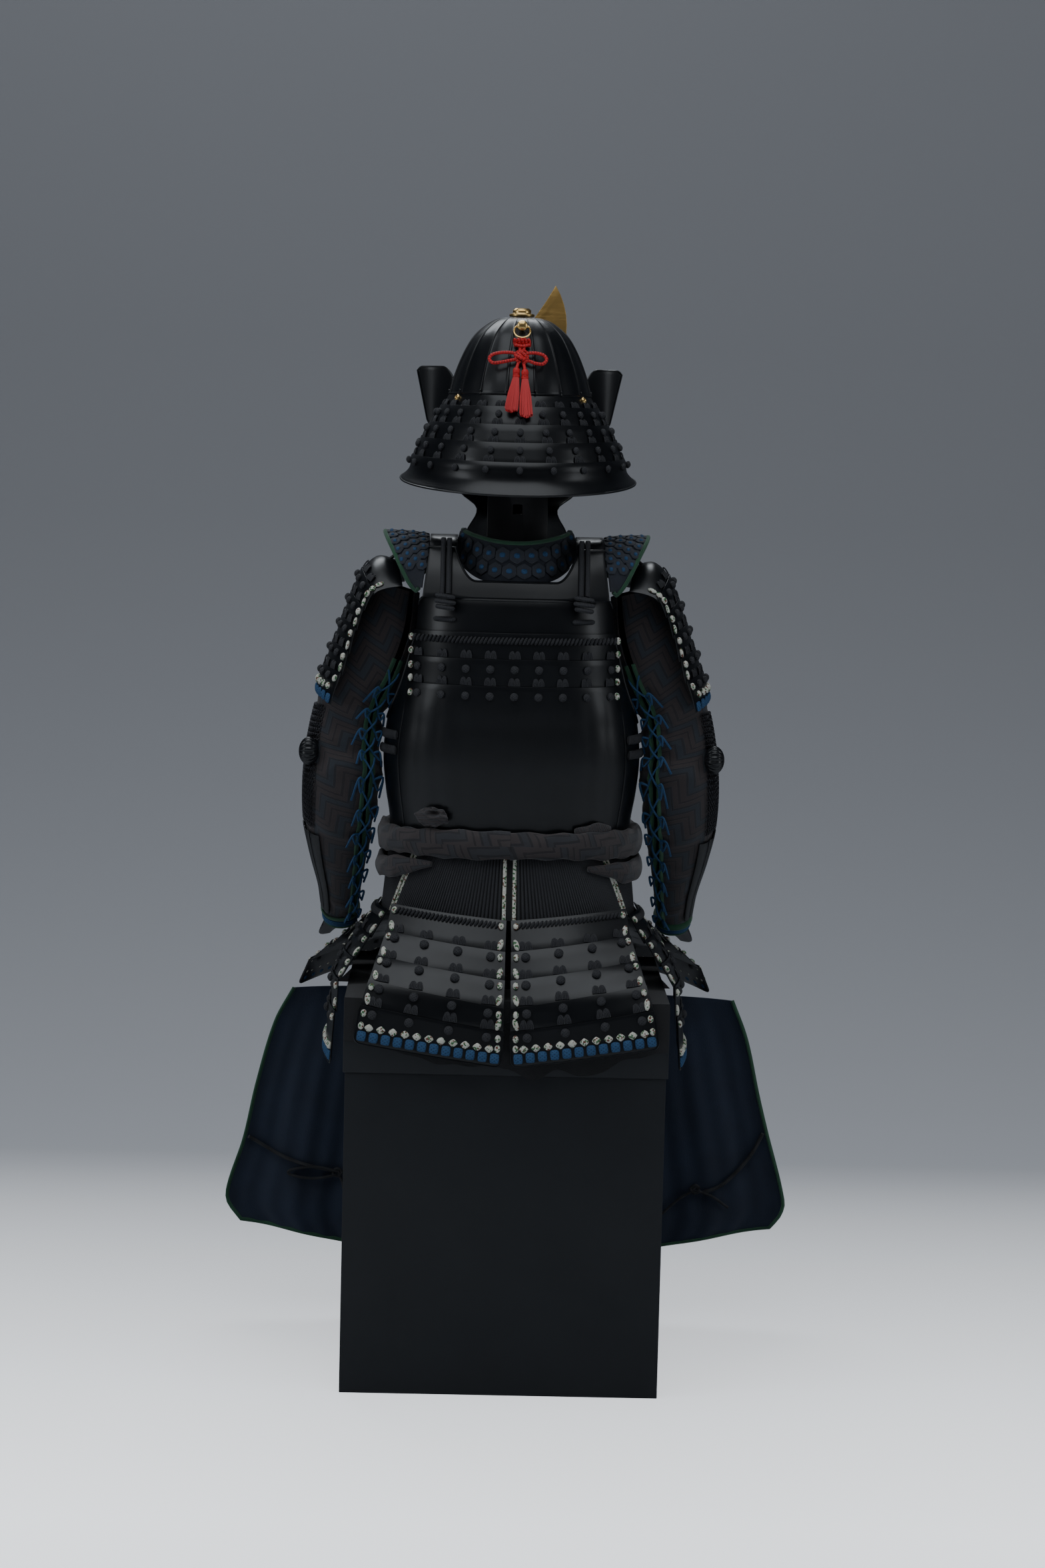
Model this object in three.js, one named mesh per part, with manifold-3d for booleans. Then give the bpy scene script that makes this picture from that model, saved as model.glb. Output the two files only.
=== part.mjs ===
import * as THREE from 'three';
import { mergeVertices } from 'three/addons/utils/BufferGeometryUtils.js';
import Module from 'manifold-3d';

// A set of samurai armour, seated on its storage chest: helmet, throat guard, cuirass, sleeves,
// shoulder shields, seven tassets and a thigh apron, over a plain wooden stand.
// Millimetres, Z up. The origin is the middle of the chest's underside, the armour's front
// faces -Y and the wearer's left is +X.

const SEAM = 0.3;
const PLATE = 2;
const CLOTH = 2;

// The chest and its lid, and the cloth that lies on it
const CHEST_WIDTH = 470;
const CHEST_DEPTH = 450;
const CHEST_TOP = 582;
const CHEST_LID_SKIRT = 108;
const CHEST_LID_WALL = 2.7;
const CHEST_LID_BOARD = 8;
const CHEST_WALL = 8;
const COVER_CLOTH = 1.5;
const COVER_FRONT_Y = -120;
const COVER_HEM = [
  { x: -234, z: 514 },
  { x: -170, z: 500 },
  { x: -120, z: 476 },
  { x: -75, z: 484 },
  { x: -35, z: 469 },
  { x: 0, z: 486 },
  { x: 95, z: 490 },
  { x: 160, z: 508 },
  { x: 234, z: 521 },
];

// The stand
const STAND_BASE = { width: 260, frontY: -45, backY: 125, thick: 20 };
const POST = { width: 89, thick: 22, backY: 42, topZ: 1440, holeZ: 1285, hole: 14 };
const SHOULDER_BAR = { halfWidth: 124, backY: 30, frontY: 2, bottomZ: 1206, topZ: 1240 };
const FACE_PEG = { size: 14, z: 1322, frontY: -108.45 };
const HELMET_REST_RADIUS = 40;

// The body that the cuirass is shaped to: its half width, half depth and middle at each height
const BODY_SQUARENESS = 2.4;
const BODY = [
  { z: 790, halfWidth: 177, halfDepth: 121, middleY: 8 },
  { z: 830, halfWidth: 180.5, halfDepth: 125, middleY: 8 },
  { z: 870, halfWidth: 187, halfDepth: 131, middleY: 7 },
  { z: 925, halfWidth: 191, halfDepth: 138, middleY: 6 },
  { z: 985, halfWidth: 184, halfDepth: 142, middleY: 4 },
  { z: 1035, halfWidth: 173, halfDepth: 142, middleY: 2 },
  { z: 1105, halfWidth: 167, halfDepth: 138, middleY: 0 },
  { z: 1158, halfWidth: 162, halfDepth: 132, middleY: -3 },
];
const BACK_HALF_ANGLE = 58;
const SIDE_FRONT_ANGLE = 118;
const WAIST_Z = 790;
const BACK_PLATE_TOP_Z = 1155;
const BACK_LAMES = [
  { name: 'back_upper_plate', top: 1155, bottom: 1105 },
  { name: 'back_lame_upper', top: 1105, bottom: 1067 },
  { name: 'back_lame_lower', top: 1067, bottom: 1028 },
  { name: 'back_lower_plate', top: 1028, bottom: 790 },
];
const ARMHOLE = [
  { angle: 58, z: 1098 },
  { angle: 66, z: 1052 },
  { angle: 76, z: 998 },
  { angle: 88, z: 972 },
  { angle: 100, z: 984 },
  { angle: 118, z: 1050 },
];
const LAP = 3;
const STEP_OUT = 3.2;
const FRONT_JOINT_Z = 1062;
const CHEST_PLATE = { topZ: 1128, narrower: 8 };
const NECK_STEP_OUT = 4;
const NECK_HEM_FLARE = 6;

// The yoke over the shoulders, with its straps
const YOKE_HALF_WIDTH_TOP = 128;
const YOKE_HALF_WIDTH_BOTTOM = 137;
const NECKLINE_Z = 1181;
const NECKLINE_FLAT = 55;
const YOKE_TOP_Z = 1228;
const YOKE_SIDE_BEND = 20;
const STRAP_INNER_X = 87;
const YOKE_LEAN = [
  { z: 1150, y: 131 },
  { z: 1180, y: 119.5 },
  { z: 1205, y: 108 },
  { z: 1232, y: 88 },
];
const STRAP_PATH = [
  { t: 0, y: 92, z: 1227 },
  { t: 0.16, y: 66, z: 1241 },
  { t: 0.32, y: 24, z: 1246 },
  { t: 0.5, y: -22, z: 1238 },
  { t: 0.68, y: -66, z: 1210 },
  { t: 0.84, y: -100, z: 1172 },
  { t: 1, y: -117, z: 1132 },
];

// The shoulder wings: the line where each is sewn to its strap, and how far it stands out
const WING_ROOT = [
  { u: 0, x: 138.1, y: 103, z: 1170 },
  { u: 0.25, x: 129.5, y: 76, z: 1222 },
  { u: 0.5, x: 128.5, y: 20, z: 1244 },
  { u: 0.75, x: 128.5, y: -40, z: 1228 },
  { u: 1, x: 129.5, y: -86, z: 1190 },
];
const WING = { tipWidth: 8, width: 66, lift: 10, droop: 6 };

// The standing collar
const COLLAR = { halfWidthTop: 80, halfDepthTop: 97, halfWidthBottom: 85.5, halfDepthBottom: 111.3, middleY: 5 };
const COLLAR_HALF_ANGLE = 96;
const COLLAR_TOP_Z = 1237;
const COLLAR_BOTTOM_Z = 1178;
const COLLAR_SIDE_RISE = { top: 15, bottom: 28, power: 1.8, end: 44, from: 0.86, over: 0.08 };

// The lacing below the cuirass: the oval that it follows
const LACING = [
  { z: 690, halfWidth: 189, halfDepth: 152, middleY: 8 },
  { z: 740, halfWidth: 184, halfDepth: 137, middleY: 8 },
  { z: 789.7, halfWidth: 179, halfDepth: 123, middleY: 8 },
];

// The sash: two rolls of padded cloth round the waist
const SASH_UPPER = { halfWidth: 189, halfDepth: 134, middleY: 8, z: 798, thick: 9.5, high: 22 };
const SASH_LOWER = { halfWidth: 191.9, halfDepth: 142.3, middleY: 8, z: 756.5, thick: 8.2, high: 17.5 };
const SASH_LOWER_START = 34;
const SASH_KNOT = { x: 115.5, y: 124.6, z: 836, halfX: 27, halfY: 9, halfZ: 13.5 };

// Each tasset as its two side edges, a row for each lame's top and one for the bottom.
// Edge a is the one nearer to the middle of the back, b the one nearer to the front.
const TASSET_WALL = 2.2;
const TASSET_STEP = 3.6;
const TASSETS = {
  back: {
    bulge: [11.2, 12, 10, 7, 6, 5],
    rows: [
      { ax: 3, ay: 163.5, az: 690, bx: 171, by: 118, bz: 705 },
      { ax: 4, ay: 190, az: 648, bx: 178, by: 146, bz: 669 },
      { ax: 4, ay: 214, az: 610, bx: 190, by: 181, bz: 637 },
      { ax: 5, ay: 239, az: 575, bx: 200, by: 220, bz: 609 },
      { ax: 5, ay: 244, az: 541, bx: 211, by: 238, bz: 576 },
      { ax: 8, ay: 251, az: 491, bx: 220, by: 245, bz: 522 },
    ],
  },
  side: {
    bulge: [10, 10, 9, 8, 8, 8],
    rows: [
      { ax: 175.4, ay: 92, az: 692, bx: 189, by: -46, bz: 692 },
      { ax: 200, ay: 102, az: 655, bx: 211, by: -54, bz: 655 },
      { ax: 224, ay: 110, az: 622, bx: 238, by: -60, bz: 622 },
      { ax: 245, ay: 116, az: 592, bx: 253, by: -66, bz: 590 },
      { ax: 249, ay: 122, az: 546, bx: 258, by: -72, bz: 546 },
      { ax: 257, ay: 128, az: 468, bx: 266, by: -78, bz: 468 },
    ],
  },
  front_side: {
    bulge: [7, 11, 13, 14, 14, 12],
    rows: [
      { ax: 185, ay: -60.6, az: 690, bx: 92.9, by: -139.3, bz: 690 },
      { ax: 214, ay: -84, az: 657, bx: 112, by: -172, bz: 662 },
      { ax: 244, ay: -108, az: 628, bx: 134, by: -204, bz: 640 },
      { ax: 272, ay: -134, az: 602, bx: 154, by: -236, bz: 622 },
      { ax: 300, ay: -166, az: 577, bx: 176, by: -268, bz: 602 },
      { ax: 322, ay: -196, az: 531, bx: 196, by: -292, bz: 562 },
    ],
  },
  front: {
    bulge: [6, 6, 6, 6, 6, 6],
    rows: [
      { ax: 80, ay: -139.3, az: 690, bx: -80, by: -139.3, bz: 690 },
      { ax: 84, ay: -174, az: 654, bx: -84, by: -174, bz: 654 },
      { ax: 88, ay: -208, az: 622, bx: -88, by: -208, bz: 622 },
      { ax: 92, ay: -248, az: 592, bx: -92, by: -248, bz: 592 },
      { ax: 96, ay: -262, az: 546, bx: -96, by: -262, bz: 546 },
      { ax: 102, ay: -272, az: 480, bx: -102, by: -272, bz: 480 },
    ],
  },
};

// The thigh apron: its outer edge on each side, and the line that its lower edge follows
const APRON_Y = -237;
const APRON_TOP_Z = 530;
const APRON_FOLD = 5;
const APRON_FOLDS = 5.5;
const APRON_EDGE_TURN = 14;
const APRON_SIDES = {
  left: {
    innerTop: 6,
    innerBottom: 12,
    edge: [
      { z: 521, x: 330 },
      { z: 467, x: 358 },
      { z: 366, x: 386 },
      { z: 277, x: 405 },
      { z: 204, x: 428 },
      { z: 176, x: 429 },
      { z: 147, x: 408 },
    ],
    hemOuterZ: 147,
    hemInnerZ: 62,
  },
  right: {
    innerTop: 6,
    innerBottom: 12,
    edge: [
      { z: 515, x: 360 },
      { z: 454, x: 384 },
      { z: 366, x: 405 },
      { z: 312, x: 419 },
      { z: 193, x: 451 },
      { z: 170, x: 446 },
      { z: 150, x: 430 },
    ],
    hemOuterZ: 150,
    hemInnerZ: 62,
  },
};
const APRON_YOKE = [
  { v: 0, y: -128, z: 688, halfWidth: 96 },
  { v: 0.35, y: -178, z: 640, halfWidth: 130 },
  { v: 0.62, y: -216, z: 592, halfWidth: 190 },
  { v: 0.74, y: -231, z: 580, halfWidth: 214 },
  { v: 1, y: -236.5, z: 530.5, halfWidth: 262 },
];
const TIE_DIAMETER = 6;
const TIE_CLEAR = 1.9;
const TIES = {
  left: [
    { across: 0.985, down: 0.64 },
    { across: 0.92, down: 0.67 },
    { across: 0.84, down: 0.7 },
    { across: 0.74, down: 0.72 },
    { across: 0.62, down: 0.73 },
  ],
  right: [
    { across: 0.985, down: 0.58 },
    { across: 0.93, down: 0.66 },
    { across: 0.86, down: 0.73 },
    { across: 0.79, down: 0.78 },
    { across: 0.72, down: 0.8 },
  ],
};

// A shoulder shield: its outline seen from behind, and its rear and front edges
const SHIELD = [
  { v: 0, x: 174, z: 1203, edgeX: 166, edgeZ: 1170, halfDepth: 78 },
  { v: 0.09, x: 203, z: 1211, edgeX: 190, edgeZ: 1166, halfDepth: 82 },
  { v: 0.2, x: 226, z: 1192, edgeX: 207, edgeZ: 1158, halfDepth: 88 },
  { v: 0.36, x: 241, z: 1158, edgeX: 220, edgeZ: 1136, halfDepth: 91 },
  { v: 0.52, x: 254, z: 1122, edgeX: 231, edgeZ: 1107, halfDepth: 93 },
  { v: 0.68, x: 267, z: 1085, edgeX: 241, edgeZ: 1073, halfDepth: 95 },
  { v: 0.84, x: 280, z: 1050, edgeX: 251, edgeZ: 1041, halfDepth: 95 },
  { v: 0.95, x: 289.5, z: 1023, edgeX: 262, edgeZ: 1014, halfDepth: 94 },
  { v: 1, x: 290, z: 1008, edgeX: 268, edgeZ: 995, halfDepth: 92 },
];
const SHIELD_LAME_TOPS = [0.2, 0.36, 0.52, 0.68, 0.84];
const SHIELD_HANGER = [
  [188, 10, 1206],
  [174, 10, 1218],
  [167, 10, 1232],
  [166, 10, 1242.1],
];
const HANGER_DIAMETER = 5;

// A sleeve: the middle of its tube down the arm, and how wide and deep it is there
const SLEEVE = [
  { v: 0, x: 176, y: 2, z: 1166, halfWidth: 36, halfDepth: 44 },
  { v: 0.1, x: 192, y: 2, z: 1108, halfWidth: 50, halfDepth: 50 },
  { v: 0.2, x: 214.4, y: 2, z: 1050, halfWidth: 54, halfDepth: 53 },
  { v: 0.31, x: 240.4, y: 3, z: 990, halfWidth: 50, halfDepth: 51 },
  { v: 0.42, x: 250, y: 6, z: 932, halfWidth: 53, halfDepth: 49 },
  { v: 0.53, x: 252, y: 8, z: 876, halfWidth: 56, halfDepth: 46 },
  { v: 0.64, x: 256, y: -12, z: 820, halfWidth: 51.5, halfDepth: 42 },
  { v: 0.73, x: 256, y: -40, z: 774, halfWidth: 44, halfDepth: 38 },
  { v: 0.84, x: 254, y: -78, z: 718, halfWidth: 33, halfDepth: 34 },
  { v: 0.92, x: 255, y: -104, z: 680, halfWidth: 27.5, halfDepth: 30 },
  { v: 1, x: 256, y: -125, z: 650, halfWidth: 24, halfDepth: 26 },
];
const SLEEVE_SEAM_ANGLE = 130;
const SLEEVE_SEAM_HALF_GAP = 8;
const SLEEVE_CREASES = [
  { v: 0.27, rise: 3.5, spread: 0.03 },
  { v: 0.4, rise: 3, spread: 0.025 },
  { v: 0.5, rise: 3.5, spread: 0.025 },
  { v: 0.6, rise: 3, spread: 0.025 },
];
const FOREARM_PLATE = { top: 0.66, bottom: 0.93, start: -62, end: 62, clear: 1.4 };
const ELBOW_BOSS = { v: 0.45, angle: 42, radius: 21, thick: 9 };
const HAND_GUARD = [
  { v: 0, x: 256, y: -145.85, z: 663.1, halfWidth: 24, outerDrop: 22, innerDrop: 20 },
  { v: 0.3, x: 260, y: -172, z: 647, halfWidth: 29, outerDrop: 27, innerDrop: 15 },
  { v: 0.65, x: 260, y: -203, z: 633, halfWidth: 30, outerDrop: 24, innerDrop: 9 },
  { v: 1, x: 256, y: -234, z: 619, halfWidth: 20, outerDrop: 12, innerDrop: 3 },
];

// The helmet
const BOWL_WALL = 3;
const BOWL_HALF_WIDTH = 105;
const BOWL_HALF_DEPTH = 118;
const BOWL = [
  { z: 1452, share: 1 },
  { z: 1474, share: 0.945 },
  { z: 1500, share: 0.855 },
  { z: 1524, share: 0.745 },
  { z: 1542, share: 0.625 },
  { z: 1557, share: 0.45 },
  { z: 1564, share: 0.3 },
  { z: 1567, share: 0.11 },
];
const BOWL_PLATES = 16;
const BOWL_RIB = 2;
const NECK_GUARD_HALF_ANGLE = 116;
const NECK_GUARD = [
  { backZ: 1451.6, sideZ: 1451.6, out: 0 },
  { backZ: 1432, sideZ: 1433, out: 9.5 },
  { backZ: 1406, sideZ: 1409, out: 24.5 },
  { backZ: 1380, sideZ: 1387, out: 37 },
  { backZ: 1352, sideZ: 1361, out: 49 },
  { backZ: 1307, sideZ: 1328, out: 70 },
];
const TURNBACK = {
  innerX: 100,
  innerSpread: 10,
  outerX: 154,
  bottomX: 138,
  topZ: 1493,
  bottomZ: 1402,
  innerTopY: -53.2,
  innerBottomY: -61.4,
  outerY: -96,
  corner: 16,
  bow: 8,
};
const PEAK = { start: 128, end: 232, reach: 38, drop: 16 };
const TOP_RING = { radius: 18.5, topRadius: 10, bore: 8, height: 11 };
const CREST = { x: 45, z: 1558, radius: 115, innerRadius: 420, start: 147.4, end: 300, thick: 2, y: -134 };
const CREST_SOCKET = { halfWidth: 9, bottomZ: 1462, topZ: 1480, backY: -116.68 };
const CORD_DIAMETER = 5;
const CORD_KNOT_Z = 1506;
const RING_POST = { z: 1552, radius: 3, length: 11 };
const RING = { radius: 13, thick: 1, below: 8, squash: 0.75, clear: 7 };
const BOW_COLLAR_Z = 1527;
const BOW_LOOP_Z = 1500;
const BOW_LOOPS = [
  [[4, 0, 1508], [24, 0, 1509], [41, -2, 1507], [47, -5, 1500], [36, -2, 1493], [20, 1, 1499], [4, 2, 1504]],
  [[-3, 0, 1510], [-18, 0, 1509], [-31, -1, 1507], [-36, -2, 1500], [-27, 0, 1495], [-14, 1, 1499],
    [-3, 2, 1504]],
];
const TASSELS = {
  helmet_tassel_left: { headX: 7.5, headTop: 1491, endX: 13.5, endY: 142, endZ: 1427 },
  helmet_tassel_right: { headX: -5, headTop: 1489, endX: -8, endY: 146, endZ: 1420 },
};
const TASSEL_HEAD = { radius: 5.4, high: 14, clear: 7.5 };
const TASSEL_SKIRT = { topRadius: 3.4, width: 9.2, depth: 5, strandTop: 0.8, strandEnd: 1.25 };
const TASSEL_STRANDS = 17;

// The throat and cheek guard
const THROAT_GUARD = [
  { z: 1226, halfWidth: 84, halfDepth: 112 },
  { z: 1252, halfWidth: 76, halfDepth: 100 },
  { z: 1284, halfWidth: 62, halfDepth: 88 },
  { z: 1307, halfWidth: 88, halfDepth: 102 },
  { z: 1340, halfWidth: 92, halfDepth: 108 },
  { z: 1386, halfWidth: 91, halfDepth: 104 },
];
const THROAT_MIDDLE_Y = -8;
const THROAT_HALF_OPENING = 102;
const MOUTH_DEPTH = 34;

const wasm = await Module();
wasm.setup();

const armour = new THREE.Group();

// Finishes
function finish(color, roughness, metalness) {
  return { color, roughness, metalness };
}
const LACQUER = finish(0x14171b, 0.32, 0.2);
const BRAID = finish(0x101114, 0.85, 0);
const BROCADE = finish(0x3a3432, 0.8, 0);
const LINING = finish(0x26303f, 0.85, 0);
const BRIGANDINE = finish(0x23262c, 0.8, 0);
const GILT = finish(0xc9a24a, 0.3, 1);
const RED_SILK = finish(0xc8202a, 0.6, 0);
const CHEST_PAINT = finish(0x24262a, 0.55, 0);
const BLACK_WOOD = finish(0x17181a, 0.6, 0);
const COVER = finish(0x1a1b1f, 0.8, 0);

function addMesh(name, geometry, look) {
  geometry.computeVertexNormals();
  const mesh = new THREE.Mesh(geometry, new THREE.MeshStandardMaterial({ ...look }));
  mesh.name = name;
  armour.add(mesh);
  return mesh;
}

// Small sums
const radians = (degrees) => (degrees * Math.PI) / 180;
const mix = (from, to, share) => from + (to - from) * share;
const signedPower = (value, power) => Math.sign(value) * Math.abs(value) ** power;

// A smooth value between the rows of a table: at is measured in the column key.
function between(rows, key, at, column) {
  const last = rows.length - 1;
  const rising = rows[last][key] > rows[0][key] ? 1 : -1;
  let i = 0;
  while (i < last - 1 && (at - rows[i + 1][key]) * rising > 0) i += 1;
  const slope = (j) => {
    const before = rows[Math.max(j - 1, 0)];
    const after = rows[Math.min(j + 1, last)];
    return (after[column] - before[column]) / (after[key] - before[key]);
  };
  const width = rows[i + 1][key] - rows[i][key];
  const s = Math.min(Math.max((at - rows[i][key]) / width, 0), 1);
  const start = rows[i][column];
  const end = rows[i + 1][column];
  const pull = slope(i) * width * s * (1 - s) ** 2 - slope(i + 1) * width * s * s * (1 - s);
  return start + (end - start) * s * s * (3 - 2 * s) + pull;
}

// Makes a geometry from points and triangles, and turns it the right way out.
function closedGeometry(points, triangles) {
  let volume = 0;
  for (const [a, b, c] of triangles) {
    const [p, q, r] = [points[a], points[b], points[c]];
    volume += p[0] * (q[1] * r[2] - q[2] * r[1]);
    volume += p[1] * (q[2] * r[0] - q[0] * r[2]);
    volume += p[2] * (q[0] * r[1] - q[1] * r[0]);
  }
  const outward = volume > 0 ? triangles : triangles.map(([a, b, c]) => [a, c, b]);
  const geometry = new THREE.BufferGeometry();
  geometry.setAttribute('position', new THREE.Float32BufferAttribute(points.flat(), 3));
  geometry.setIndex(outward.flat());
  return geometry;
}

// A closed wall behind a curved patch. place(u, v) is its outer face, v running down it, and
// relief(u, v) raises the outer face alone. stops are the places of its rows along v.
function wall(place, columns, rows, thickness, options = {}) {
  const { closed = false, relief = () => 0, stops = null, inward = null } = options;
  const vs = stops ?? Array.from({ length: rows + 1 }, (_, j) => j / rows);
  const across = closed ? columns : columns + 1;
  const step = 1e-3;
  const outer = [];
  const inner = [];
  for (const v of vs) {
    for (let i = 0; i < across; i += 1) {
      const u = i / columns;
      const point = new THREE.Vector3(...place(u, v));
      let normal;
      if (inward) {
        normal = new THREE.Vector3(...inward(u, v)).sub(point).negate().normalize();
      } else {
        const u0 = closed ? u - step : Math.max(u - step, 0);
        const u1 = closed ? u + step : Math.min(u + step, 1);
        const along = new THREE.Vector3(...place(u1, v)).sub(new THREE.Vector3(...place(u0, v)));
        const v0 = Math.max(v - step, 0);
        const v1 = Math.min(v + step, 1);
        const down = new THREE.Vector3(...place(u, v1)).sub(new THREE.Vector3(...place(u, v0)));
        normal = along.cross(down).normalize();
      }
      outer.push(point.clone().addScaledVector(normal, relief(u, v)).toArray());
      inner.push(point.clone().addScaledVector(normal, -thickness).toArray());
    }
  }
  const points = outer.concat(inner);
  const back = outer.length;
  const triangles = [];
  const quad = (a, b, c, d) => triangles.push([a, b, c], [a, c, d]);
  const at = (i, j) => j * across + (i % across);
  for (let j = 0; j < vs.length - 1; j += 1) {
    for (let i = 0; i < columns; i += 1) {
      quad(at(i, j), at(i, j + 1), at(i + 1, j + 1), at(i + 1, j));
      quad(back + at(i, j), back + at(i + 1, j), back + at(i + 1, j + 1), back + at(i, j + 1));
    }
  }
  const bottom = vs.length - 1;
  for (let i = 0; i < columns; i += 1) {
    quad(at(i, 0), at(i + 1, 0), back + at(i + 1, 0), back + at(i, 0));
    quad(at(i, bottom), back + at(i, bottom), back + at(i + 1, bottom), at(i + 1, bottom));
  }
  if (!closed) {
    for (let j = 0; j < bottom; j += 1) {
      quad(at(0, j), back + at(0, j), back + at(0, j + 1), at(0, j + 1));
      const end = columns;
      quad(at(end, j), at(end, j + 1), back + at(end, j + 1), back + at(end, j));
    }
  }
  return closedGeometry(points, triangles);
}

// A solid roll along a path: place(t, angle) is a point of its skin. An open roll has flat ends.
function roll(place, steps, sides, closed) {
  const points = [];
  const rings = closed ? steps : steps + 1;
  for (let j = 0; j < rings; j += 1) {
    for (let i = 0; i < sides; i += 1) points.push(place(j / steps, (2 * Math.PI * i) / sides));
  }
  const triangles = [];
  const at = (i, j) => (j % rings) * sides + (i % sides);
  for (let j = 0; j < steps; j += 1) {
    for (let i = 0; i < sides; i += 1) {
      triangles.push([at(i, j), at(i + 1, j), at(i + 1, j + 1)]);
      triangles.push([at(i, j), at(i + 1, j + 1), at(i, j + 1)]);
    }
  }
  if (!closed) {
    for (let i = 1; i < sides - 1; i += 1) {
      triangles.push([at(0, 0), at(i + 1, 0), at(i, 0)]);
      triangles.push([at(0, steps), at(i, steps), at(i + 1, steps)]);
    }
  }
  return closedGeometry(points, triangles);
}

// A round cord through some points
function cordGeometry(points, diameter, steps, sides = 8) {
  const curve = new THREE.CatmullRomCurve3(points.map((p) => new THREE.Vector3(...p)));
  const frames = curve.computeFrenetFrames(steps, false);
  return roll((t, angle) => {
    const j = Math.round(t * steps);
    const centre = curve.getPointAt(t);
    centre.addScaledVector(frames.normals[j], (diameter / 2) * Math.cos(angle));
    centre.addScaledVector(frames.binormals[j], (diameter / 2) * Math.sin(angle));
    return centre.toArray();
  }, steps, sides, false);
}

function box(x0, x1, y0, y1, z0, z1) {
  const geometry = new THREE.BoxGeometry(x1 - x0, y1 - y0, z1 - z0);
  geometry.translate((x0 + x1) / 2, (y0 + y1) / 2, (z0 + z1) / 2);
  return geometry;
}

function ball(x, y, z, radiusX, radiusY, radiusZ, sides, rings) {
  const geometry = new THREE.SphereGeometry(1, sides, rings);
  geometry.scale(radiusX, radiusY, radiusZ);
  geometry.translate(x, y, z);
  return geometry;
}

function solidOf(geometry) {
  const bare = geometry.clone();
  bare.deleteAttribute('normal');
  bare.deleteAttribute('uv');
  const merged = mergeVertices(bare, 1e-4);
  const vertProperties = new Float32Array(merged.attributes.position.array);
  const triVerts = new Uint32Array(merged.index.array);
  return new wasm.Manifold(new wasm.Mesh({ numProp: 3, vertProperties, triVerts }));
}

function geometryOf(solid) {
  const mesh = solid.getMesh();
  const geometry = new THREE.BufferGeometry();
  geometry.setAttribute('position', new THREE.BufferAttribute(mesh.vertProperties, 3));
  geometry.setIndex(new THREE.BufferAttribute(mesh.triVerts, 1));
  return geometry;
}

const joined = (pieces) => geometryOf(pieces.map(solidOf).reduce((all, piece) => all.add(piece)));
const cut = (whole, hole) => geometryOf(solidOf(whole).subtract(solidOf(hole)));

// The same geometry for the wearer's right side
function mirrored(geometry) {
  const points = [];
  const position = geometry.attributes.position;
  for (let i = 0; i < position.count; i += 1) {
    points.push([-position.getX(i), position.getY(i), position.getZ(i)]);
  }
  const triangles = [];
  const index = geometry.index.array;
  for (let i = 0; i < index.length; i += 3) triangles.push([index[i], index[i + 1], index[i + 2]]);
  return closedGeometry(points, triangles);
}

// Adds a piece on the wearer's left, and its mirror image on the right.
function addPair(name, geometry, look) {
  addMesh(`${name}_left`, geometry, look);
  addMesh(`${name}_right`, mirrored(geometry), look);
}

// A point of an oval round the body: angle 0 is the middle of the back, 90 the wearer's left.
function ovalPoint(degrees, halfWidth, halfDepth, middleY, z, squareness = BODY_SQUARENESS) {
  const power = 2 / squareness;
  const x = halfWidth * signedPower(Math.sin(radians(degrees)), power);
  const y = middleY + halfDepth * signedPower(Math.cos(radians(degrees)), power);
  return [x, y, z];
}

function tableOval(rows, degrees, z, out = 0) {
  const halfWidth = between(rows, 'z', z, 'halfWidth') + out;
  const halfDepth = between(rows, 'z', z, 'halfDepth') + out;
  return ovalPoint(degrees, halfWidth, halfDepth, between(rows, 'z', z, 'middleY'), z);
}

// Storage chest: a deep box, and a lid whose skirt slips over it and rests on its rim
function chest() {
  const halfX = CHEST_WIDTH / 2;
  const halfY = CHEST_DEPTH / 2;
  const skirtZ = CHEST_TOP - CHEST_LID_SKIRT;
  const underside = CHEST_TOP - CHEST_LID_BOARD;
  const innerX = halfX - CHEST_LID_WALL;
  const innerY = halfY - CHEST_LID_WALL;
  const lid = box(-halfX, halfX, -halfY, halfY, skirtZ, CHEST_TOP);
  const lidHollow = box(-innerX, innerX, -innerY, innerY, skirtZ - 1, underside);
  addMesh('chest_lid', cut(lid, lidHollow), CHEST_PAINT);
  const bodyX = innerX - SEAM;
  const bodyY = innerY - SEAM;
  const body = box(-bodyX, bodyX, -bodyY, bodyY, 0, underside - SEAM);
  const hollowX = bodyX - CHEST_WALL;
  const hollowY = bodyY - CHEST_WALL;
  const hollow = box(-hollowX, hollowX, -hollowY, hollowY, CHEST_WALL, underside + 1);
  addMesh('chest_body', cut(body, hollow), CHEST_PAINT);
}
chest();

// Cover cloth: lies on the lid, and its uneven hem hangs down the lid's back
function coverCloth() {
  const halfX = CHEST_WIDTH / 2 - 1;
  const topZ = CHEST_TOP + SEAM + COVER_CLOTH;
  const backY = CHEST_DEPTH / 2 + SEAM + COVER_CLOTH;
  const fold = 0.6;
  const place = (u, v) => {
    const x = mix(halfX, -halfX, u);
    if (v <= fold) return [x, mix(COVER_FRONT_Y, backY, v / fold), topZ];
    return [x, backY, mix(topZ, between(COVER_HEM, 'x', x, 'z'), (v - fold) / (1 - fold))];
  };
  const stops = [0, 0.3, fold - 0.005, fold, fold + 0.02, 0.8, 1];
  addMesh('cover_cloth', wall(place, 14, 0, -COVER_CLOTH, { stops }), COVER);
}
coverCloth();

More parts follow.
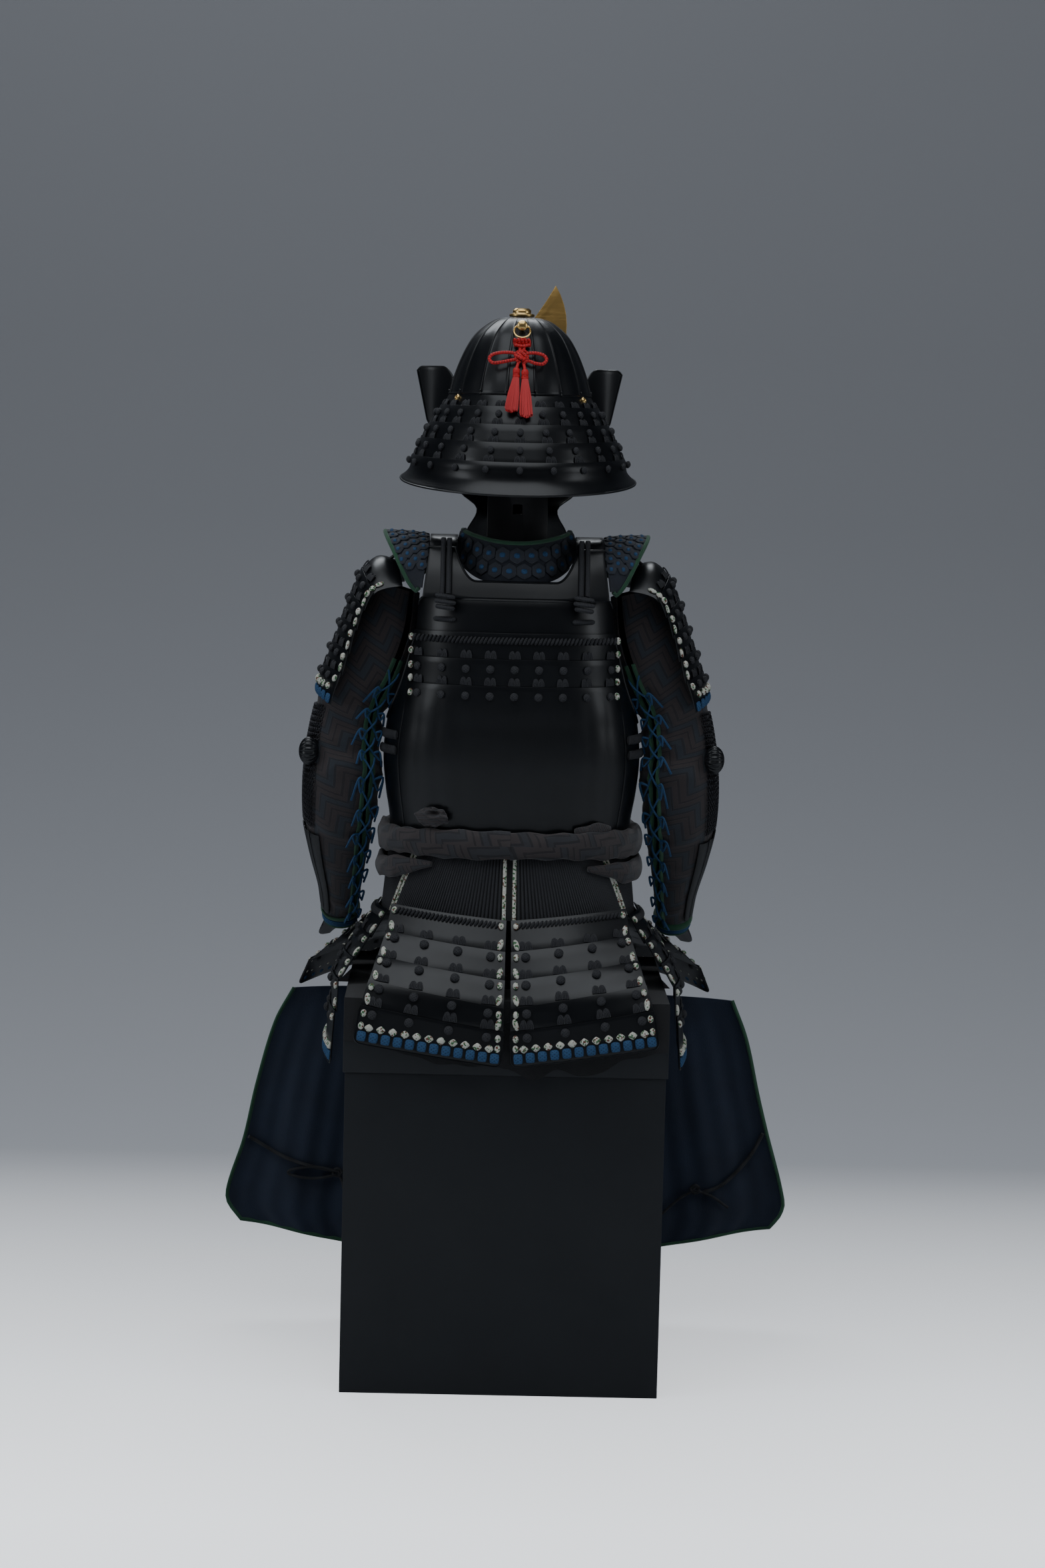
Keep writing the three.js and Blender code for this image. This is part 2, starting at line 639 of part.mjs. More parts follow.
// Stand: a foot board, a flat post with a square mortise, a shoulder bar and a peg for the face
function stand() {
  const footZ = CHEST_TOP + 2 * SEAM + COVER_CLOTH;
  const frontY = POST.backY - POST.thick;
  const halfPost = POST.width / 2;
  const halfFoot = STAND_BASE.width / 2;
  const foot = box(-halfFoot, halfFoot, STAND_BASE.frontY, STAND_BASE.backY, footZ, footZ + STAND_BASE.thick);
  const outline = new THREE.Shape();
  outline.moveTo(-halfPost, footZ + 1);
  outline.lineTo(halfPost, footZ + 1);
  outline.lineTo(halfPost, POST.topZ);
  outline.lineTo(-halfPost, POST.topZ);
  outline.closePath();
  const hole = new THREE.Path();
  const halfHole = POST.hole / 2;
  hole.moveTo(-halfHole, POST.holeZ - halfHole);
  hole.lineTo(-halfHole, POST.holeZ + halfHole);
  hole.lineTo(halfHole, POST.holeZ + halfHole);
  hole.lineTo(halfHole, POST.holeZ - halfHole);
  hole.closePath();
  outline.holes.push(hole);
  const post = new THREE.ExtrudeGeometry(outline, { depth: POST.thick, bevelEnabled: false });
  post.rotateX(Math.PI / 2);
  post.translate(0, POST.backY, 0);
  const bar = box(-SHOULDER_BAR.halfWidth, SHOULDER_BAR.halfWidth, SHOULDER_BAR.frontY,
    SHOULDER_BAR.backY, SHOULDER_BAR.bottomZ, SHOULDER_BAR.topZ);
  const half = FACE_PEG.size / 2;
  const peg = box(-half, half, FACE_PEG.frontY, frontY + 1, FACE_PEG.z - half, FACE_PEG.z + half);
  addMesh('stand_frame', joined([foot, post, bar, peg]), BLACK_WOOD);
}
stand();

// Helmet rest: a turned block on the post, rounded to the inside of the bowl
function helmetRest() {
  const clear = BOWL_WALL + 0.1;
  const crown = BOWL.filter((row) => row.share > 0.2 && row.share < 0.65);
  const profile = [
    new THREE.Vector2(0, POST.topZ + SEAM),
    new THREE.Vector2(HELMET_REST_RADIUS, POST.topZ + SEAM),
  ];
  for (const row of crown) {
    profile.push(new THREE.Vector2(row.share * BOWL_HALF_WIDTH - clear, row.z - clear));
  }
  profile.push(new THREE.Vector2(0, BOWL.at(-2).z - clear));
  addMesh('helmet_rest', mergedLathe(profile, 16), BLACK_WOOD);
}

function mergedLathe(profile, sides) {
  const lathe = new THREE.LatheGeometry(profile, sides);
  lathe.rotateX(Math.PI / 2);
  return geometryOf(solidOf(lathe));
}
helmetRest();

// Helmet bowl: sixteen iron plates, each seam a raised rib, with a hole under the top ring
function bowlPoint(degrees, z, out = 0) {
  const share = between(BOWL, 'z', z, 'share');
  const x = (share * BOWL_HALF_WIDTH + out) * Math.sin(radians(degrees));
  const y = (share * BOWL_HALF_DEPTH + out) * Math.cos(radians(degrees));
  return [x, y, z];
}

function helmetBowl() {
  const columns = BOWL_PLATES * 2;
  const top = BOWL.length - 1;
  const place = (u, v) => {
    const row = v * top;
    const lower = BOWL[Math.max(Math.min(Math.ceil(top - row), top), 0)];
    const upper = BOWL[Math.max(Math.min(Math.floor(top - row), top), 0)];
    const z = mix(upper.z, lower.z, top - row - Math.floor(top - row));
    return bowlPoint(360 * u + 180 / BOWL_PLATES, z);
  };
  const relief = (u, v) => {
    const onRib = Math.round(u * columns) % 2 === 0;
    return (onRib ? BOWL_RIB : BOWL_RIB / 2) * Math.min(1, v * 4);
  };
  const stops = BOWL.map((_, j) => j / top);
  addMesh('helmet_bowl', wall(place, columns, 0, BOWL_WALL, { closed: true, relief, stops }), LACQUER);
}
helmetBowl();

// Top ring: a stepped gilt collar round the hole in the crown
function topRing() {
  const base = BOWL.at(-2).z + 4.4;
  const profile = [
    [TOP_RING.bore, base],
    [TOP_RING.radius, base - 1],
    [TOP_RING.radius, base + 2.5],
    [TOP_RING.radius * 0.72, base + 4.5],
    [TOP_RING.radius * 0.72, base + 7.5],
    [TOP_RING.topRadius + 1, base + TOP_RING.height],
    [TOP_RING.bore, base + TOP_RING.height],
    [TOP_RING.bore, base],
  ].map(([r, z]) => new THREE.Vector2(r, z));
  addMesh('helmet_top_ring', mergedLathe(profile, 16), GILT);
}
topRing();

// Neck guard: five lames that flare, each lapped over the outside of the one above
function neckGuardPoint(degrees, level, out) {
  const row = NECK_GUARD[level];
  const lift = (row.sideZ - row.backZ) * (1 - Math.cos(radians(degrees)));
  const x = (BOWL_HALF_WIDTH + row.out + out) * Math.sin(radians(degrees));
  const y = (BOWL_HALF_DEPTH + row.out + out) * Math.cos(radians(degrees));
  return [x, y, row.backZ + lift];
}

function neckGuard() {
  const count = NECK_GUARD.length - 1;
  for (let k = 0; k < count; k += 1) {
    const stepOut = k === 0 ? 0 : NECK_STEP_OUT - (k === 1 ? 0.4 : 0);
    const lapTop = k === 0 ? 0 : LAP;
    const lapBottom = k === count - 1 ? 0 : LAP;
    const place = (u, v) => {
      const degrees = mix(-NECK_GUARD_HALF_ANGLE, NECK_GUARD_HALF_ANGLE, u);
      const above = neckGuardPoint(degrees, k, 0);
      const below = neckGuardPoint(degrees, k + 1, 0);
      const fall = above[2] - below[2];
      const share = mix(-lapTop / fall, 1 + lapBottom / fall, v);
      const offset = mix(stepOut, 0, v);
      const hollow = Math.min(Math.max((share - 0.15) / 0.85, 0), 1);
      const flare = k === count - 1 ? -NECK_HEM_FLARE * Math.sin(Math.PI * hollow) : 0;
      const outX = (offset + flare) * Math.sin(radians(degrees));
      const outY = (offset + flare) * Math.cos(radians(degrees));
      const point = above.map((value, axis) => mix(value, below[axis], share));
      return [point[0] + outX, point[1] + outY, point[2]];
    };
    addMesh(`neck_lame_${k + 1}`, wall(place, 22, k === count - 1 ? 3 : 1, PLATE), LACQUER);
  }
}
neckGuard();

// Turnbacks: the front ends of the neck guard, bent out to either side of the face
function turnbacks() {
  const place = (u, v) => {
    const corner = TURNBACK.corner * (1 - Math.min(u / 0.3, 1)) ** 2;
    const z = mix(TURNBACK.topZ - corner, TURNBACK.bottomZ, v);
    const outer = mix(TURNBACK.outerX, TURNBACK.bottomX, v);
    const inner = mix(TURNBACK.innerX, TURNBACK.innerX + TURNBACK.innerSpread, v);
    const innerY = mix(TURNBACK.innerTopY, TURNBACK.innerBottomY, v);
    const y = mix(innerY, TURNBACK.outerY, u) - TURNBACK.bow * Math.sin(Math.PI * u);
    return [mix(inner, outer, u), y, z];
  };
  addPair('turnback', wall(place, 6, 3, PLATE), LACQUER);
}
turnbacks();

// Peak: a plain brim over the brow
function peak() {
  const rim = BOWL[0].z - 1.1;
  const place = (u, v) => {
    const degrees = mix(PEAK.start, PEAK.end, u);
    const reach = PEAK.reach * v * (0.55 + 0.45 * Math.sin(Math.PI * u));
    const x = (BOWL_HALF_WIDTH - 1 + reach) * Math.sin(radians(degrees));
    const y = (BOWL_HALF_DEPTH - 1 + reach) * Math.cos(radians(degrees));
    return [x, y, rim - PEAK.drop * v];
  };
  addMesh('helmet_peak', wall(place, 12, 2, PLATE), LACQUER);
}
peak();

// Crest: a plain crescent of brushed metal, set aslant in a socket on the brow
function crest() {
  const start = radians(CREST.start);
  const end = radians(CREST.end);
  const point = (angle, radius) => [CREST.x + radius * Math.cos(angle), CREST.z + radius * Math.sin(angle)];
  const from = point(start, CREST.radius);
  const to = point(end, CREST.radius);
  const chord = Math.hypot(to[0] - from[0], to[1] - from[1]);
  const rise = CREST.innerRadius - Math.sqrt(CREST.innerRadius ** 2 - (chord / 2) ** 2);
  const middle = (start + end) / 2;
  const outline = new THREE.Shape();
  outline.moveTo(...from);
  const steps = 20;
  for (let i = 1; i <= steps; i += 1) {
    outline.lineTo(...point(mix(start, end, i / steps), CREST.radius));
  }
  const innerSteps = 8;
  for (let i = 1; i < innerSteps; i += 1) {
    const share = i / innerSteps;
    const bow = rise * 4 * share * (1 - share);
    outline.lineTo(
      mix(to[0], from[0], share) + bow * Math.cos(middle),
      mix(to[1], from[1], share) + bow * Math.sin(middle),
    );
  }
  outline.closePath();
  const plate = new THREE.ExtrudeGeometry(outline, { depth: CREST.thick, bevelEnabled: false });
  plate.rotateX(Math.PI / 2);
  plate.translate(0, CREST.y, 0);
  const socket = box(-CREST_SOCKET.halfWidth, CREST_SOCKET.halfWidth, CREST.y + SEAM - 1, CREST_SOCKET.backY,
    CREST_SOCKET.bottomZ, CREST_SOCKET.topZ);
  addMesh('helmet_crest', joined([plate, socket]), GILT);
}
crest();

// Cord ring: a gilt post with a ring through it, high on the back of the bowl
function behindBowl(z, clear) {
  return bowlPoint(0, z, BOWL_RIB + clear)[1];
}

function cordRing() {
  const surface = behindBowl(RING_POST.z - RING_POST.radius, 0);
  const post = new THREE.CylinderGeometry(RING_POST.radius, RING_POST.radius, RING_POST.length, 8);
  post.translate(0, surface + RING_POST.length / 2, RING_POST.z);
  const knob = ball(0, surface + RING_POST.length + 1.5, RING_POST.z, 6, 4, 6, 8, 6);
  const ring = roll((t, angle) => {
    const turn = 2 * Math.PI * t;
    const reach = RING.radius + RING.thick * (Math.cos(angle) - 1);
    const z = RING_POST.z - RING.below + reach * Math.cos(turn) * RING.squash;
    return [reach * Math.sin(turn), behindBowl(z, RING.clear) + RING.thick * Math.sin(angle), z];
  }, 14, 5, true);
  addMesh('helmet_cord_ring', joined([post, knob, ring]), GILT);
}
cordRing();

// Cord bow: a red cord tied through the ring, knotted, with two loops
function cordBow() {
  const collar = ball(0, behindBowl(BOW_COLLAR_Z, 5.4), BOW_COLLAR_Z, 12, 4.5, 5, 8, 6);
  const knot = ball(1, behindBowl(CORD_KNOT_Z, 7), CORD_KNOT_Z, 10, 6, 9, 8, 6);
  const neckZ = [BOW_COLLAR_Z + 3, BOW_COLLAR_Z - 11, CORD_KNOT_Z - 2];
  const neck = cordGeometry(neckZ.map((z, i) => [0, behindBowl(z, 5 + i), z]), 8, 3, 6);
  const loopY = behindBowl(BOW_LOOP_Z, 5);
  const loops = BOW_LOOPS.map((points) => {
    const path = points.map(([x, back, z]) => [x, loopY + back, z]);
    return cordGeometry(path, CORD_DIAMETER, 12, 5);
  });
  addMesh('helmet_cord_bow', joined([collar, knot, neck, ...loops]), RED_SILK);
}
cordBow();

// Tassel: a bound head with strands fused into it, hanging down the back of the bowl
function tassel(name, { headX, headTop, endX, endY, endZ }) {
  const headZ = headTop - TASSEL_HEAD.high / 2;
  const headY = behindBowl(headZ, TASSEL_HEAD.clear);
  const head = ball(headX, headY, headZ, TASSEL_HEAD.radius, TASSEL_HEAD.radius, TASSEL_HEAD.high / 2, 10, 8);
  const knotY = behindBowl(CORD_KNOT_Z, 7);
  const hangZ = CORD_KNOT_Z - 9.05;
  const hangerPath = [
    [headX, headY, headZ],
    [mix(headX, 1, 0.3), mix(headY, knotY, 0.8), hangZ - 4],
    [mix(headX, 1, 0.5), knotY, hangZ],
  ];
  const hanger = cordGeometry(hangerPath, CORD_DIAMETER - 1, 3, 5);
  const inner = 6;
  const strands = [];
  for (let i = 0; i < TASSEL_STRANDS; i += 1) {
    const isInner = i < inner;
    const reach = isInner ? 0.45 : 0.92;
    const turn = 2 * Math.PI * (isInner ? i / inner : (i - inner) / (TASSEL_STRANDS - inner));
    const [dx, dy] = [reach * Math.cos(turn), reach * Math.sin(turn)];
    const top = [headX + TASSEL_SKIRT.topRadius * dx, headY + TASSEL_SKIRT.topRadius * dy, headZ - 1];
    const tipZ = endZ + 3 * Math.abs(dx) + (i % 3);
    const tip = [endX + TASSEL_SKIRT.width * dx, endY + TASSEL_SKIRT.depth * dy, tipZ];
    strands.push(roll((t, angle) => {
      const width = mix(TASSEL_SKIRT.strandTop, TASSEL_SKIRT.strandEnd, t);
      return [
        mix(top[0], tip[0], t) + width * Math.cos(angle),
        mix(top[1], tip[1], t) + width * Math.sin(angle),
        mix(top[2], tip[2], t),
      ];
    }, 1, 3, false));
  }
  addMesh(name, joined([head, hanger, ...strands]), RED_SILK);
}
for (const [name, sizes] of Object.entries(TASSELS)) tassel(name, sizes);

// Throat guard: cheek and chin plate with the lames that hang below it, open at the back
function throatGuard() {
  const top = THROAT_GUARD.at(-1).z;
  const bottom = THROAT_GUARD[0].z;
  const place = (u, v) => {
    const degrees = mix(THROAT_HALF_OPENING, 360 - THROAT_HALF_OPENING, u);
    const mouth = MOUTH_DEPTH * Math.max(0, -Math.cos(radians(degrees)) - 0.45) ** 0.5;
    const z = mix(top - mouth, bottom, v);
    const halfWidth = between(THROAT_GUARD, 'z', z, 'halfWidth');
    const halfDepth = between(THROAT_GUARD, 'z', z, 'halfDepth');
    return ovalPoint(degrees, halfWidth, halfDepth, THROAT_MIDDLE_Y, z, 2);
  };
  addMesh('throat_guard', wall(place, 12, 7, PLATE), LACQUER);
}
throatGuard();

// Cuirass back: a top plate, two lames and the big lower plate, each lapped outside the last
function cuirassBack() {
  const lastLame = BACK_LAMES.length - 1;
  BACK_LAMES.forEach((lame, k) => {
    const lapTop = k === 0 ? 0 : LAP;
    const lapBottom = k === lastLame ? 0 : LAP;
    const stepOut = k === 0 ? 0 : STEP_OUT;
    const fade = k === lastLame ? 0.25 : 1;
    const place = (u, v) => {
      const degrees = mix(-BACK_HALF_ANGLE, BACK_HALF_ANGLE, u);
      const z = mix(lame.top + lapTop, lame.bottom - lapBottom, v);
      return tableOval(BODY, degrees, z, stepOut * Math.max(1 - v / fade, 0));
    };
    addMesh(lame.name, wall(place, 14, k === lastLame ? 6 : 2, PLATE), LACQUER);
  });
}
cuirassBack();

// Cuirass sides, cut down under the arms, and the front with its top plate
function cuirassSidesAndFront() {
  const seam = 0.4;
  const side = (u, v) => {
    const degrees = mix(BACK_HALF_ANGLE + seam, SIDE_FRONT_ANGLE - seam, u);
    return tableOval(BODY, degrees, mix(between(ARMHOLE, 'angle', degrees, 'z'), WAIST_Z, v));
  };
  addPair('side_plate', wall(side, 8, 6, PLATE), LACQUER);
  const front = (top, bottom) => (u, v) => {
    const degrees = mix(SIDE_FRONT_ANGLE, 360 - SIDE_FRONT_ANGLE, u);
    return tableOval(BODY, degrees, mix(top, bottom, v));
  };
  addMesh('front_lower_plate', wall(front(FRONT_JOINT_Z, WAIST_Z), 14, 5, PLATE), LACQUER);
  const chestTop = (u, v) => {
    const start = SIDE_FRONT_ANGLE + CHEST_PLATE.narrower;
    const z = mix(CHEST_PLATE.topZ, FRONT_JOINT_Z + SEAM, v);
    return tableOval(BODY, mix(start, 360 - start, u), z);
  };
  addMesh('front_upper_plate', wall(chestTop, 12, 2, PLATE), LACQUER);
}
cuirassSidesAndFront();

// Yoke: the plate below the neck with its round neckline, and the straps over the shoulders
function necklineZ(x) {
  return Math.min(YOKE_TOP_Z, NECKLINE_Z + 0.04 * Math.max(0, Math.abs(x) - NECKLINE_FLAT) ** 2);
}

function yoke() {
  const plate = wall((u, v) => {
    const spread = mix(-1, 1, u);
    const z = mix(necklineZ(spread * YOKE_HALF_WIDTH_TOP), BACK_PLATE_TOP_Z + 1.5, v);
    const widthShare = (z - BACK_PLATE_TOP_Z) / (YOKE_TOP_Z - BACK_PLATE_TOP_Z);
    const x = spread * mix(YOKE_HALF_WIDTH_BOTTOM, YOKE_HALF_WIDTH_TOP, widthShare);
    return [x, between(YOKE_LEAN, 'z', z, 'y') - YOKE_SIDE_BEND * (x / YOKE_HALF_WIDTH_BOTTOM) ** 2, z];
  }, 14, 3, PLATE + 1);
  const strap = wall((u, v) => {
    const x = mix(STRAP_INNER_X, YOKE_HALF_WIDTH_TOP - 1, u);
    const backward = YOKE_SIDE_BEND * (x / YOKE_HALF_WIDTH_BOTTOM) ** 2 * Math.max(0, 1 - v / 0.3);
    const y = between(STRAP_PATH, 't', v, 'y') - backward;
    return [x, y, between(STRAP_PATH, 't', v, 'z')];
  }, 2, 10, -PLATE - 1);
  addMesh('yoke', joined([plate, strap, mirrored(strap)]), LACQUER);
}
yoke();

// Collar: a padded band of small hexagon plates standing round the back of the neck
function collar() {
  const place = (u, v) => {
    const degrees = mix(-COLLAR_HALF_ANGLE, COLLAR_HALF_ANGLE, u);
    const sideways = Math.sin(radians(degrees)) ** 2;
    const top = COLLAR_TOP_Z + COLLAR_SIDE_RISE.top * sideways;
    const atEnd = Math.min(Math.max(0, sideways - COLLAR_SIDE_RISE.from) / COLLAR_SIDE_RISE.over, 1);
    const rise = COLLAR_SIDE_RISE.bottom * sideways ** COLLAR_SIDE_RISE.power;
    const bottom = COLLAR_BOTTOM_Z + rise + COLLAR_SIDE_RISE.end * atEnd;
    const halfWidth = mix(COLLAR.halfWidthTop, COLLAR.halfWidthBottom, v);
    const halfDepth = mix(COLLAR.halfDepthTop, COLLAR.halfDepthBottom, v);
    return ovalPoint(degrees, halfWidth, halfDepth, COLLAR.middleY, mix(top, Math.min(bottom, top - 6), v), 2);
  };
  addMesh('collar', wall(place, 20, 3, 3), BRIGANDINE);
}
collar();

// Shoulder wings: leaf-shaped pads of hexagon plates, sewn to the outer edge of each strap
function shoulderWings() {
  const place = (u, v) => {
    const bow = Math.sin(Math.PI * u);
    const x = between(WING_ROOT, 'u', u, 'x') + mix(WING.tipWidth, WING.width, bow ** 0.8) * v;
    const z = between(WING_ROOT, 'u', u, 'z') + WING.lift * bow * v - WING.droop * v * v;
    return [x, between(WING_ROOT, 'u', u, 'y') - WING.lift * v * Math.cos(Math.PI * u), z];
  };
  addPair('shoulder_wing', wall(place, 10, 3, 3), BRIGANDINE);
}
shoulderWings();

// Shoulder shields: a domed cap and lames down the outside of each upper arm
function shoulderShields() {
  const place = (u, v) => {
    const across = mix(1, -1, u);
    const x = mix(between(SHIELD, 'v', v, 'x'), between(SHIELD, 'v', v, 'edgeX'), across ** 2);
    const z = mix(between(SHIELD, 'v', v, 'z'), between(SHIELD, 'v', v, 'edgeZ'), across ** 2);
    return [x, across * between(SHIELD, 'v', v, 'halfDepth'), z];
  };
  const drop = 0.012;
  const stops = [0, 0.09];
  for (const top of SHIELD_LAME_TOPS) stops.push(top - drop, top);
  stops.push(0.95, 1);
  const relief = (u, v) => {
    const tops = SHIELD_LAME_TOPS.filter((top) => v >= top - 1e-6);
    if (tops.length === 0) return 0.5;
    const share = Math.min((v - tops.at(-1)) / 0.16, 1);
    return mix(TASSET_STEP, 0.5, share);
  };
  const hanger = cordGeometry(SHIELD_HANGER, HANGER_DIAMETER, 4, 5);
  const lames = wall(place, 8, 0, TASSET_WALL, { stops, relief });
  addPair('shoulder_shield', joined([lames, hanger]), LACQUER);
}
shoulderShields();

// Sleeves: cloth tubes, open along the inner seam where they are laced
function sleeveFrame(v) {
  const centre = new THREE.Vector3(
    between(SLEEVE, 'v', v, 'x'),
    between(SLEEVE, 'v', v, 'y'),
    between(SLEEVE, 'v', v, 'z'),
  );
  const v0 = Math.max(v - 0.01, 0);
  const v1 = Math.min(v + 0.01, 1);
  const down = new THREE.Vector3(
    between(SLEEVE, 'v', v1, 'x') - between(SLEEVE, 'v', v0, 'x'),
    between(SLEEVE, 'v', v1, 'y') - between(SLEEVE, 'v', v0, 'y'),
    between(SLEEVE, 'v', v1, 'z') - between(SLEEVE, 'v', v0, 'z'),
  ).normalize();
  const outward = new THREE.Vector3(1, 0, 0).addScaledVector(down, -down.x).normalize();
  const backward = new THREE.Vector3().crossVectors(outward, down).normalize();
  if (backward.y < 0) backward.negate();
  return { centre, outward, backward };
}

// A point of the sleeve: angle 0 is its outer side, 90 its back, 180 its inner side.
function sleevePoint(degrees, v, out = 0) {
  const { centre, outward, backward } = sleeveFrame(v);
  const power = 2 / 2.3;
  const halfWidth = between(SLEEVE, 'v', v, 'halfWidth') + out;
  const halfDepth = between(SLEEVE, 'v', v, 'halfDepth') + out;
  centre.addScaledVector(outward, halfWidth * signedPower(Math.cos(radians(degrees)), power));
  centre.addScaledVector(backward, halfDepth * signedPower(Math.sin(radians(degrees)), power));
  return centre.toArray();
}

function sleeves() {
  const start = SLEEVE_SEAM_ANGLE + SLEEVE_SEAM_HALF_GAP - 360;
  const end = SLEEVE_SEAM_ANGLE - SLEEVE_SEAM_HALF_GAP;
  const crease = (u, v) => {
    let rise = 0;
    for (const fold of SLEEVE_CREASES) {
      rise += fold.rise * Math.exp(-(((v + 0.03 * Math.sin(2 * Math.PI * u) - fold.v) / fold.spread) ** 2));
    }
    return rise;
  };
  const bare = (u) => {
    const degrees = mix(start, end, u);
    return degrees > -70 && degrees < 70 ? 0 : 1;
  };
  const place = (u, v) => sleevePoint(mix(start, end, u), v);
  const inward = (u, v) => sleeveFrame(v).centre.toArray();
  const relief = (u, v) => crease(u, v) * bare(u);
  addPair('sleeve', wall(place, 12, 15, CLOTH, { inward, relief }), BROCADE);
}
sleeves();

// Forearm plates, elbow bosses and hand guards: lacquered pieces sewn to the sleeves
function armPlates() {
  const { top, bottom, start, end, clear } = FOREARM_PLATE;
  const forearm = (u, v) => sleevePoint(mix(end, start, u), mix(top, bottom, v), clear + PLATE);
  addPair('forearm_plate', wall(forearm, 6, 5, PLATE), LACQUER);

  const { radius, thick } = ELBOW_BOSS;
  const boss = geometryOf(solidOf(ball(0, 0, 0, radius, thick, radius, 12, 8)));
  const seat = new THREE.Vector3(...sleevePoint(ELBOW_BOSS.angle, ELBOW_BOSS.v, 0));
  const centre = sleeveFrame(ELBOW_BOSS.v).centre;
  const outward = seat.clone().sub(centre).setZ(0).normalize();
  const turn = new THREE.Quaternion().setFromUnitVectors(new THREE.Vector3(0, 1, 0), outward);
  boss.applyQuaternion(turn);
  const place = seat.clone().addScaledVector(outward, ELBOW_BOSS.thick + 1);
  boss.translate(place.x, place.y, place.z);
  addPair('elbow_boss', boss, LACQUER);

  const hand = (u, v) => {
    const across = mix(1, -1, u);
    const x = between(HAND_GUARD, 'v', v, 'x') + across * between(HAND_GUARD, 'v', v, 'halfWidth');
    const drop = between(HAND_GUARD, 'v', v, across > 0 ? 'outerDrop' : 'innerDrop');
    const z = between(HAND_GUARD, 'v', v, 'z') - drop * across ** 2;
    return [x, between(HAND_GUARD, 'v', v, 'y'), z];
  };
  addPair('hand_guard', wall(hand, 6, 4, -PLATE), LACQUER);
}

armPlates();

// Sash: the upper roll goes all round, the lower one passes under it at the back
function sash() {
  const upper = roll((t, angle) => {
    const out = SASH_UPPER.thick * Math.cos(angle);
    const z = SASH_UPPER.z + SASH_UPPER.high * Math.sin(angle);
    return ovalPoint(360 * t, SASH_UPPER.halfWidth + out, SASH_UPPER.halfDepth + out, SASH_UPPER.middleY, z);
  }, 30, 8, true);
  addMesh('sash_upper_roll', upper, BROCADE);
  const lower = roll((t, angle) => {
    const taper = Math.min(1, Math.min(t, 1 - t) * 9 + 0.25);
    const out = SASH_LOWER.thick * (taper * Math.cos(angle) - (1 - taper));
    const z = SASH_LOWER.z + SASH_LOWER.high * (taper * Math.sin(angle) + (1 - taper) * 0.7);
    const degrees = mix(SASH_LOWER_START, 360 - SASH_LOWER_START, t);
    return ovalPoint(degrees, SASH_LOWER.halfWidth + out, SASH_LOWER.halfDepth + out, SASH_LOWER.middleY, z);
  }, 28, 8, false);
  addMesh('sash_lower_roll', lower, BROCADE);
  const knot = ball(0, 0, 0, SASH_KNOT.halfX, SASH_KNOT.halfY, SASH_KNOT.halfZ, 10, 8);
  knot.rotateZ(-0.45);
  knot.translate(SASH_KNOT.x, SASH_KNOT.y, SASH_KNOT.z);
  addMesh('sash_knot', geometryOf(solidOf(knot)), BROCADE);
}
sash();

// Lacing: the curtain of braid that the tassets hang from
function lacing() {
  const place = (u, v) => tableOval(LACING, 360 * u, mix(LACING.at(-1).z, LACING[0].z, v));
  addMesh('lacing_curtain', wall(place, 30, 2, CLOTH, { closed: true }), BRAID);
}
lacing();

// Tassets: five lapped lames each, hung round the waist and spread over the chest
function tassetGeometry(table) {
  const lames = table.rows.length - 1;
  const edges = table.rows.map((row, j) => ({ ...row, v: j / lames, bulge: table.bulge[j] }));
  const straight = (v, column) => {
    const j = Math.min(Math.floor(v * lames), lames - 1);
    return mix(edges[j][column], edges[j + 1][column], v * lames - j);
  };
  const place = (u, v) => {
    const a = new THREE.Vector3(straight(v, 'ax'), straight(v, 'ay'), straight(v, 'az'));
    const b = new THREE.Vector3(straight(v, 'bx'), straight(v, 'by'), straight(v, 'bz'));
    const across = b.clone().sub(a);
    const outward = new THREE.Vector3(-across.y, across.x, 0).normalize();
    if (outward.dot(a) + outward.dot(b) < 0) outward.negate();
    return a.lerp(b, u).addScaledVector(outward, straight(v, 'bulge') * Math.sin(Math.PI * u)).toArray();
  };
  const drop = 0.02;
  const stops = [0];
  for (let k = 1; k < lames; k += 1) stops.push(k / lames - drop, k / lames);
  stops.push(1);
  const relief = (u, v) => {
    const onEdge = v * lames + 1e-6;
    const share = v > 0.999 ? 1 : onEdge - Math.floor(onEdge);
    return mix(TASSET_STEP, 0.4, Math.min(share, 1));
  };
  return wall(place, 6, 0, TASSET_WALL, { stops, relief });
}

function tassets() {
  addPair('tasset_back', tassetGeometry(TASSETS.back), LACQUER);
  addPair('tasset_side', tassetGeometry(TASSETS.side), LACQUER);
  addPair('tasset_front_side', tassetGeometry(TASSETS.front_side), LACQUER);
  addMesh('tasset_front', tassetGeometry(TASSETS.front), LACQUER);
}
tassets();

